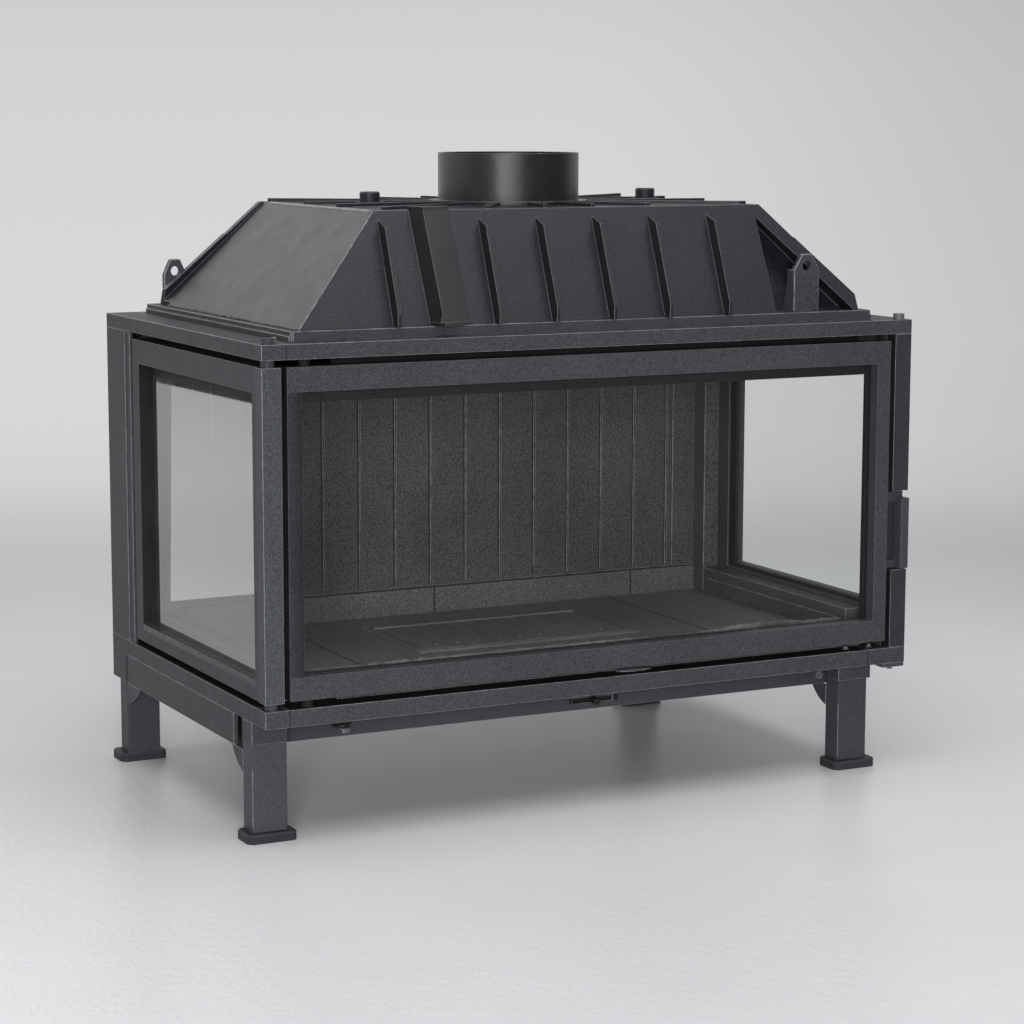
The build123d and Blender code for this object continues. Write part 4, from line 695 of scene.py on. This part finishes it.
def add_crust(crust):
    """The burnt crust on the log guard."""
    low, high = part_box("log_guard")
    y = (low[1] + high[1]) / 2
    z = high[2] - CRUST_R * CRUST_SUNK
    rings = []
    for place, radius in lumpy((low[0], y, z), (high[0], y, z), CRUST_R, CRUST_LUMPS, CRUST_PITCH, 3.0):
        swell = math.exp(-((place.x - CRUST_SWELL_X) / CRUST_SWELL_W) ** 2)
        rise = CRUST_RISE * swell * (1.0 + 0.5 * noise.noise(place * CRUST_RAGS))
        rings.append((place + Vector((0.0, 0.0, rise * 0.5)), radius + rise * 0.5))
    tube("guard_crust", rings, "stove", "lining_iron", crust, 14)


def add_rail(name, span, foot, height, bevel, body, bare):
    """A low rail across the hearth or the grate's plate."""
    left, right, y = span
    low = (left, y - RAIL_W / 2, foot)
    high = (right, y + RAIL_W / 2, foot + height)
    bar(name, low, high, bevel, body, "lining_iron", bare)


def add_grate_details(lining, bare):
    """The rails in front of and behind the grate's bed, and the ridges at its ends."""
    low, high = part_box("grate")
    hearth_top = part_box("hearth_plates")[1][2]
    plate_top = high[2] - PEG_H
    add_rail("grate_rail_front", RAIL_FRONT, hearth_top, RAIL_FRONT_H, RAIL_W / 5, "stove", bare)
    add_rail("grate_rail_rear", RAIL_REAR, plate_top, RAIL_REAR_H, RAIL_W / 6, "fire_grate", bare)
    for side, (start, inward) in enumerate(((low[0], 1.0), (high[0], -1.0))):
        for index, inset in enumerate(RIDGE_INSETS):
            x = start + inward * inset
            front = (x, low[1] + RIDGE_END, plate_top)
            rear = (x, high[1] - RIDGE_END, plate_top)
            rings = lumpy(front, rear, RIDGE_R, 0.3, RIDGE_PITCH, 5.0 + index)
            tube(f"grate_ridge_{side}_{index}", rings, "fire_grate", "lining_iron", lining, 8)


# Glide pad for the door's lower rail: its place on the deck and its half sizes
PAD_PLACE = (0.061, -0.279)
PAD_SIZE = (0.028, 0.008, 0.0038)
PAD_BEND = 0.15

# Bolt heads: (x, y) places, radius and height
GAP_BOLTS = ((0.4464, -0.285), (0.4064, -0.285))
GAP_BOLT_SIZE = (0.0035, 0.0045)
HINGE_BOLT = (-0.4624, -0.2656)
HINGE_BOLT_SIZE = (0.0042, 0.0065)

# Stops at the air slot's ends: each one's x from the slider's middle, half width and half height
SLOT_STOPS = ((-0.0352, 0.0018, 0.0034), (0.0372, 0.0030, 0.0042))
SLOT_STOP_DEPTH = 0.0014
SLOT_STOP_ROUND = 0.0006

# Folded return of the left side band
RETURN_LOW = (-0.482, -0.196, 0.112)
RETURN_HIGH = (-0.480, -0.150, 0.1595)
RETURN_ROUND = 0.0005


def new_ball(columns):
    """A bmesh of a ball of radius 1, to be squeezed into a pad or a washer."""
    made = bmesh.new()
    bmesh.ops.create_uvsphere(made, u_segments=columns, v_segments=12, radius=1.0)
    return made


def add_glide_pad(deck, steel):
    """The domed pad that the door's lower rail glides over."""
    made = new_ball(28)
    for vertex in made.verts:
        bend = 1.0 + PAD_BEND * noise.noise(vertex.co * 2.3)
        x, y, z = (vertex.co[axis] * bend * PAD_SIZE[axis] for axis in range(3))
        vertex.co = Vector((PAD_PLACE[0] + x, PAD_PLACE[1] + y, deck + max(z, 0.0)))
    for face in made.faces:
        face.smooth = True
    add_piece("glide_pad", made, "stove", "plain_steel", steel)


def add_body_details(steel, soot_and_shade):
    """Glide pad and bolt heads in the lower gap, stops of the air slot, a bolt by the hinge, a folded
    return of the side band behind the near leg. The stops and the return are dark with painted shade."""
    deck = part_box("bottom_frame")[1][2]
    add_glide_pad(deck, steel)
    for index, place in enumerate(GAP_BOLTS):
        hex_head(f"gap_bolt_{index}", (*place, deck), *GAP_BOLT_SIZE, "stove", "plain_steel", steel)
    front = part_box("front_band")[0][1]
    slider_low, slider_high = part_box("air_slider")
    middle = (slider_low[0] + slider_high[0]) / 2
    height = (slider_low[2] + slider_high[2]) / 2
    for index, (offset, reach, rise) in enumerate(SLOT_STOPS):
        low = (middle + offset - reach, front - SLOT_STOP_DEPTH, height - rise)
        high = (middle + offset + reach, front, height + rise)
        # The stops are dark with painted shade
        bar(f"slot_stop_{index}", low, high, SLOT_STOP_ROUND, "stove", "plain_steel", soot_and_shade)
    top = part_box("top_frame")[1][2]
    hex_head("hinge_bolt", (*HINGE_BOLT, top), *HINGE_BOLT_SIZE, "stove", "plain_steel", steel)
    # The return is dark with painted shade
    bar("band_return", RETURN_LOW, RETURN_HIGH, RETURN_ROUND, "stove", "frame_grey", soot_and_shade)


# Air knob: how far its wing stands out, the wing's width shares at its foot and head, its rounding, and
# the washer's half sizes
KNOB_WING = 0.0102
KNOB_TAPER = (0.26, 0.62)
KNOB_ROUND = 0.0016
WASHER_SIZE = (0.0155, 0.0009, 0.0042)


def add_knob(steel, soot_and_shade):
    """The wing grip, narrowed towards its lower side, and the washer behind its upper edge, dark with
    painted shade.
    """
    low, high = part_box("air_knob")
    middle = (low[0] + high[0]) / 2
    made = clean_copy("air_knob")
    wing = [vertex for vertex in made.verts if vertex.co.y < low[1] + KNOB_WING]
    wing_low = min(vertex.co.z for vertex in wing)
    wing_high = max(vertex.co.z for vertex in wing)
    for vertex in wing:
        rise = (vertex.co.z - wing_low) / (wing_high - wing_low)
        share = KNOB_TAPER[0] + (KNOB_TAPER[1] - KNOB_TAPER[0]) * rise
        vertex.co.x = middle + (vertex.co.x - middle) * share
    sharp = [line for line in made.edges if is_sharp(line) and all(end in wing for end in line.verts)]
    bmesh.ops.bevel(made, geom=sharp, offset=KNOB_ROUND, offset_type="OFFSET", segments=4, profile=0.5,
                    affect="EDGES", clamp_overlap=True)
    piece = add_piece("air_knob_grip", made, "knob", "frame_grey", steel)
    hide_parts("air_knob")
    add_washer(middle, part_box("front_band")[0][1], wing_high, soot_and_shade)


def add_washer(x, front, z, soot_and_shade):
    """A flat round washer whose back lies on the front band."""
    made = new_ball(32)
    for vertex in made.verts:
        across, out, rise = vertex.co
        vertex.co = Vector((x + across * WASHER_SIZE[0], front + min(out, 0.0) * WASHER_SIZE[1],
                            z + rise * WASHER_SIZE[2]))
    bmesh.ops.remove_doubles(made, verts=made.verts, dist=WELD / 10)
    for face in made.faces:
        face.smooth = True
    # Dark with painted shade
    add_piece("knob_washer", made, "stove", "plain_steel", soot_and_shade)


# Painted highlight on the legs: its radius, the share of it that is sunk, and its distance from foot and
# head
LEG_LINE_R = 0.0007
LEG_LINE_SUNK = 0.4
LEG_LINE_END = 0.001
LEG_LINE_PITCH = 0.006

# The leg's corner rounding, how far a rounding's middle lies inside its corner, and the leg's head
LEG_ROUND = 0.0015
ROUND_INSET = 0.29
LEG_HEAD_H = 0.0305


def add_corner_highlights(edge):
    """A painted highlight along the near upright corner of the two front legs."""
    inset = LEG_LINE_R * LEG_LINE_SUNK + LEG_ROUND * ROUND_INSET
    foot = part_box("foot_plates")[1][2]
    for side in ("left", "right"):
        low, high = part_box("leg_front_" + side)
        start = Vector((low[0] + inset, low[1] + inset, foot + LEG_LINE_END))
        end = Vector((low[0] + inset, low[1] + inset, high[2] - LEG_HEAD_H - LEG_LINE_END))
        rings = lumpy(start, end, LEG_LINE_R, 0.25, LEG_LINE_PITCH, 17.0)
        tube(f"leg_line_{side}", rings, "stove", "frame_grey", edge, 10)


# Hood: half sizes of its foot and crown, and their middle
HOOD_BASE = (0.431, 0.269)
HOOD_TOP = (0.295, 0.200)
HOOD_MIDDLE_Y = -0.003

# Its seams: radii, the shares of them that are sunk, and how far short of the corners they stop
HIP_R, HIP_SUNK = 0.0011, 0.45
ROLL_R, ROLL_IN, ROLL_DOWN = 0.0034, 0.3, 0.75
ROLL_SHORT = 0.03
BEAD_LEFT_R = 0.0017
BEAD_FRONT_R = 0.00119
BEAD_PITCH = 0.0035
BEAD_LEFT_SHORT = 0.05
BEAD_FRONT_SHORT = 0.006


def hood_seam(name, start, end, radius, lumps, pitch, seed, finish, sides):
    """A seam on the hood, as a lumpy bead from start to end."""
    tube(name, lumpy(start, end, radius, lumps, pitch, seed), "stove", "hood_iron", finish, sides)


def add_hood_details(edge, dark):
    """The seam along the near hip and the rolled left edge of the crown, both in the pale edge paint with
    its painted highlight, and the sealer along the foot.
    """
    foot_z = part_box("hood_flange")[1][2]
    crown_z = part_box("flue_collar")[0][2]
    foot = Vector((-HOOD_BASE[0], HOOD_MIDDLE_Y - HOOD_BASE[1], foot_z))
    head = Vector((-HOOD_TOP[0], HOOD_MIDDLE_Y - HOOD_TOP[1], crown_z))
    inward = Vector((HIP_R, HIP_R, -HIP_R)) * HIP_SUNK
    # Hip seam and crown roll take the pale edge paint: a painted highlight
    hood_seam("hip_seam", foot + inward, head + inward, HIP_R, 0.25, 0.006, 7.0, edge, 10)
    far = Vector((-HOOD_TOP[0], HOOD_MIDDLE_Y + HOOD_TOP[1] - ROLL_SHORT, crown_z))
    roll = Vector((ROLL_R * ROLL_IN, 0.0, -ROLL_R * ROLL_DOWN))
    hood_seam("crown_roll", head + roll, far + roll, ROLL_R, 0.06, 0.01, 9.0, edge, 12)
    rear = Vector((-HOOD_BASE[0], HOOD_MIDDLE_Y + HOOD_BASE[1] - BEAD_LEFT_SHORT, foot_z))
    right = Vector((HOOD_TOP[0] - BEAD_FRONT_SHORT, HOOD_MIDDLE_Y - HOOD_BASE[1], foot_z))
    hood_seam("foot_seam_left", rear, foot, BEAD_LEFT_R, 1.1, BEAD_PITCH, 11.0, dark, 8)
    hood_seam("foot_seam_front", foot, right, BEAD_FRONT_R, 0.8, BEAD_PITCH, 13.0, dark, 8)


# Paints by name, as painted_iron's arguments
# Edge tones: wear, and painted highlights
WEAR_AND_HIGHLIGHT_GREY = (0.12, 0.124, 0.13)
WEAR_AND_HIGHLIGHT_HOOD = (0.09, 0.094, 0.10)
WEAR_AND_HIGHLIGHT_LINING = (0.13, 0.128, 0.126)
GREY = {"dark": (0.0358, 0.0375, 0.0410), "light": (0.0410, 0.0429, 0.0470), "grain": 700.0,
        "depth": 0.00030, "rough": 0.42, "wear_and_highlight": WEAR_AND_HIGHLIGHT_GREY, "edge": 0.0010, "specular": 0.13, "grit": 0.42}
PAINTS = {
    "grey_paint": GREY,
    # The door's paint, with painted shade on its hinge stile
    "door_paint": {**GREY, "painted_shade_factor": painted_stile_shade},
    # A lighter copy of the grey for painted light, and a darker copy for painted shade
    "grey_with_painted_light": {**GREY, "dark": (0.0450, 0.0471, 0.0515), "light": (0.0505, 0.0528, 0.0577),
                        "specular": 0.15},
    "grey_with_painted_shade": {**GREY, "dark": (0.0240, 0.0251, 0.0275), "light": (0.0285, 0.0298, 0.0326),
                       "grain": 760.0, "depth": 0.00028, "rough": 0.44, "specular": 0.10, "grit": 0.30},
    "hood_paint": {
        "dark": (0.0088, 0.0099, 0.0124), "light": (0.0116, 0.0129, 0.0160), "grain": 560.0,
        "depth": 0.00036, "rough": 0.42, "wear_and_highlight": WEAR_AND_HIGHLIGHT_HOOD, "edge": 0.0022, "specular": 0.42, "grit": 0.60},
    # Lighter paint: painted light on the hood wedge's right flank
    "flank_with_painted_light": {
        "dark": (0.0300, 0.0310, 0.0330), "light": (0.0345, 0.0356, 0.0380), "grain": 760.0,
        "depth": 0.00028, "rough": 0.42, "wear_and_highlight": WEAR_AND_HIGHLIGHT_HOOD, "edge": 0.0022, "specular": 0.30, "grit": 0.26},
    "collar_paint": {
        "dark": (0.0052, 0.0056, 0.0068), "light": (0.0070, 0.0075, 0.0090), "grain": 520.0,
        "depth": 0.00022, "rough": 0.31, "wear_and_highlight": WEAR_AND_HIGHLIGHT_GREY, "edge": 0.0014, "specular": 0.85, "grit": 0.60},
    "lining_iron": {
        "dark": (0.043, 0.0425, 0.0425), "light": (0.060, 0.059, 0.059), "grain": 400.0, "depth": 0.00050,
        "rough": 0.60, "wear_and_highlight": (0.15, 0.148, 0.145), "edge": 0.0015, "specular": 0.3, "specks": 0.60,
        "grit": 0.55},
    "hearth_iron": {
        "dark": (0.102, 0.100, 0.100), "light": (0.130, 0.127, 0.127), "grain": 430.0, "depth": 0.00055,
        "rough": 0.55, "wear_and_highlight": WEAR_AND_HIGHLIGHT_LINING, "edge": 0.0012, "specular": 0.35, "specks": 0.5, "grit": 0.42},
    "plinth_iron": {
        "dark": (0.071, 0.0695, 0.0695), "light": (0.090, 0.088, 0.088), "grain": 400.0, "depth": 0.00050,
        "rough": 0.58, "wear_and_highlight": WEAR_AND_HIGHLIGHT_LINING, "edge": 0.0012, "specular": 0.3, "specks": 0.55, "grit": 0.50},
    # Soot in the firebox, and near black for painted shade in gaps, recesses and under the door
    "soot_and_painted_shade": {
        "dark": (0.009, 0.009, 0.009), "light": (0.014, 0.014, 0.014), "grain": 330.0, "depth": 0.00030,
        "rough": 0.65, "wear_and_highlight": (0.03, 0.03, 0.03), "edge": 0.0010, "specular": 0.15},
    # Near black, for painted shade
    "painted_shade_iron": {
        "dark": (0.010, 0.010, 0.011), "light": (0.013, 0.013, 0.014), "grain": 500.0, "depth": 0.00020,
        "rough": 0.55, "wear_and_highlight": (0.05, 0.05, 0.052), "edge": 0.0010, "specular": 0.2},
    "dark_steel": {
        "dark": (0.060, 0.062, 0.066), "light": (0.095, 0.097, 0.102), "grain": 900.0, "depth": 0.00008,
        "rough": 0.34, "wear_and_highlight": (0.30, 0.305, 0.315), "edge": 0.0008},
    "bare_steel": {
        "dark": (0.105, 0.107, 0.112), "light": (0.20, 0.204, 0.21), "grain": 500.0, "depth": 0.00010,
        "rough": 0.38, "wear_and_highlight": (0.45, 0.45, 0.46), "edge": 0.0008},
    "burnt_crust": {
        "dark": (0.045, 0.043, 0.041), "light": (0.15, 0.147, 0.143), "grain": 260.0, "depth": 0.0009,
        "rough": 0.8, "wear_and_highlight": (0.28, 0.275, 0.27), "edge": 0.0006, "specular": 0.2, "specks": 0.3},
    "seam_sealer": {
        "dark": (0.006, 0.006, 0.007), "light": (0.016, 0.017, 0.018), "grain": 300.0, "depth": 0.0003,
        "rough": 0.55, "wear_and_highlight": (0.04, 0.04, 0.045), "edge": 0.0006, "specular": 0.3},
}

# Edges worn and with painted highlights, by name, as wear_and_highlight_edge's arguments
WEAR_AND_HIGHLIGHT_EDGES = {
    "grey_edge": ((0.050, 0.053, 0.058), (0.155, 0.160, 0.168), 0.36),
    "hood_edge": ((0.030, 0.032, 0.036), (0.135, 0.139, 0.146), 0.36),
    "lining_edge": ((0.060, 0.059, 0.058), (0.22, 0.217, 0.212), 0.5),
}

# The finish of each record slot: its paint and its edges, worn and with painted highlights
SLOT_FINISH = {
    "frame_grey": ("grey_paint", "grey_edge"),
    "hood_iron": ("hood_paint", "hood_edge"),
    "lining_iron": ("lining_iron", "lining_edge"),
    "plain_steel": ("dark_steel", "grey_edge"),
    "clear_glass": ("clear_glass", "clear_glass"),
    "rope_seal": ("rope", "rope"),
}

# Nodes whose paint or edges differ from their slot's
OWN_PAINT = {
    "left_glass": "coated_glass",
    "flue_collar": "collar_paint",
    # Painted light: the lighter grey on the near post and leg. Painted shade: the darker grey on the feet
    # and the right column
    "corner_post": "grey_with_painted_light",
    "leg_front_left": "grey_with_painted_light",
    "foot_plates": "grey_with_painted_shade",
    "right_column": "grey_with_painted_shade",
    "hood_flange": "grey_paint",
    "lifting_lugs": "grey_paint",
    "post_pivots": "grey_paint",
    # Painted shade on the air slot's slider
    "air_slider": "painted_shade_iron",
    "door_frame": "door_paint",
    # Soot and painted shade on the parts in the firebox and its gaps
    "lintels": "soot_and_painted_shade",
    "right_jamb": "soot_and_painted_shade",
    "door_pivots": "soot_and_painted_shade",
    "latch_keeper": "soot_and_painted_shade",
    # Painted shade on the glass retainers under the top rail
    "door_retainer": "painted_shade_iron",
    "left_retainer": "painted_shade_iron",
    "right_retainer": "painted_shade_iron",
    "hearth_plates": "hearth_iron",
    "grate": "hearth_iron",
    "plinth_plates": "plinth_iron",
}
# Pieces whose edges take soot and painted shade
SOOT_AND_SHADE_EDGES = ("right_jamb", "lintels", "hearth_plates", "grate", "plinth_plates")


def make_finishes():
    """Every material of the object, by name."""
    made = {name: painted_iron(name, **values) for name, values in PAINTS.items()}
    for name, values in WEAR_AND_HIGHLIGHT_EDGES.items():
        made[name] = wear_and_highlight_edge(name, *values)
    made["rope"] = rope_fibre("rope", (0.010, 0.010, 0.010), (0.030, 0.029, 0.028))
    made["clear_glass"] = clear_glass("clear_glass", (0.978, 0.982, 0.98), 1.42, 0.003)
    made["coated_glass"] = clear_glass("coated_glass", (0.93, 0.93, 0.925), 1.5, 0.02, left_coat)
    return made


def dress():
    """Give every node its finish and add the pieces that the frame has no node for."""
    finish = make_finishes()
    slots = {entry["node"]: entry["material_slot"] for entry in frame["record"]["subparts"]}
    bodies = {}
    for body, names in frame["record"]["behaviour"]["bodies"].items():
        for name in names:
            bodies[name] = body
    paint = {name: finish[OWN_PAINT.get(name, SLOT_FINISH[slots[name]][0])] for name in frame["nodes"]}
    for name, node in frame["nodes"].items():
        node.data.materials.clear()
        node.data.materials.append(paint[name])
    soot_and_shade = finish["soot_and_painted_shade"]
    for width, names in EDGED.items():
        for name in names:
            # Dark faces take soot and painted shade; the hood's take painted shade alone
            edge = soot_and_shade if name in SOOT_AND_SHADE_EDGES else finish[SLOT_FINISH[slots[name]][1]]
            dark = finish["painted_shade_iron"] if name == "hood" else soot_and_shade
            soften(name, bodies[name], slots[name], width, paint[name], edge, dark, finish["flank_with_painted_light"])
    add_crust(finish["burnt_crust"])
    add_grate_details(finish["lining_iron"], finish["bare_steel"])
    add_body_details(finish["dark_steel"], soot_and_shade)
    add_knob(finish["dark_steel"], soot_and_shade)
    add_corner_highlights(finish["grey_edge"])
    add_hood_details(finish["hood_edge"], finish["seam_sealer"])


add_camera()
add_floor()
add_world()
add_lights()
dress()
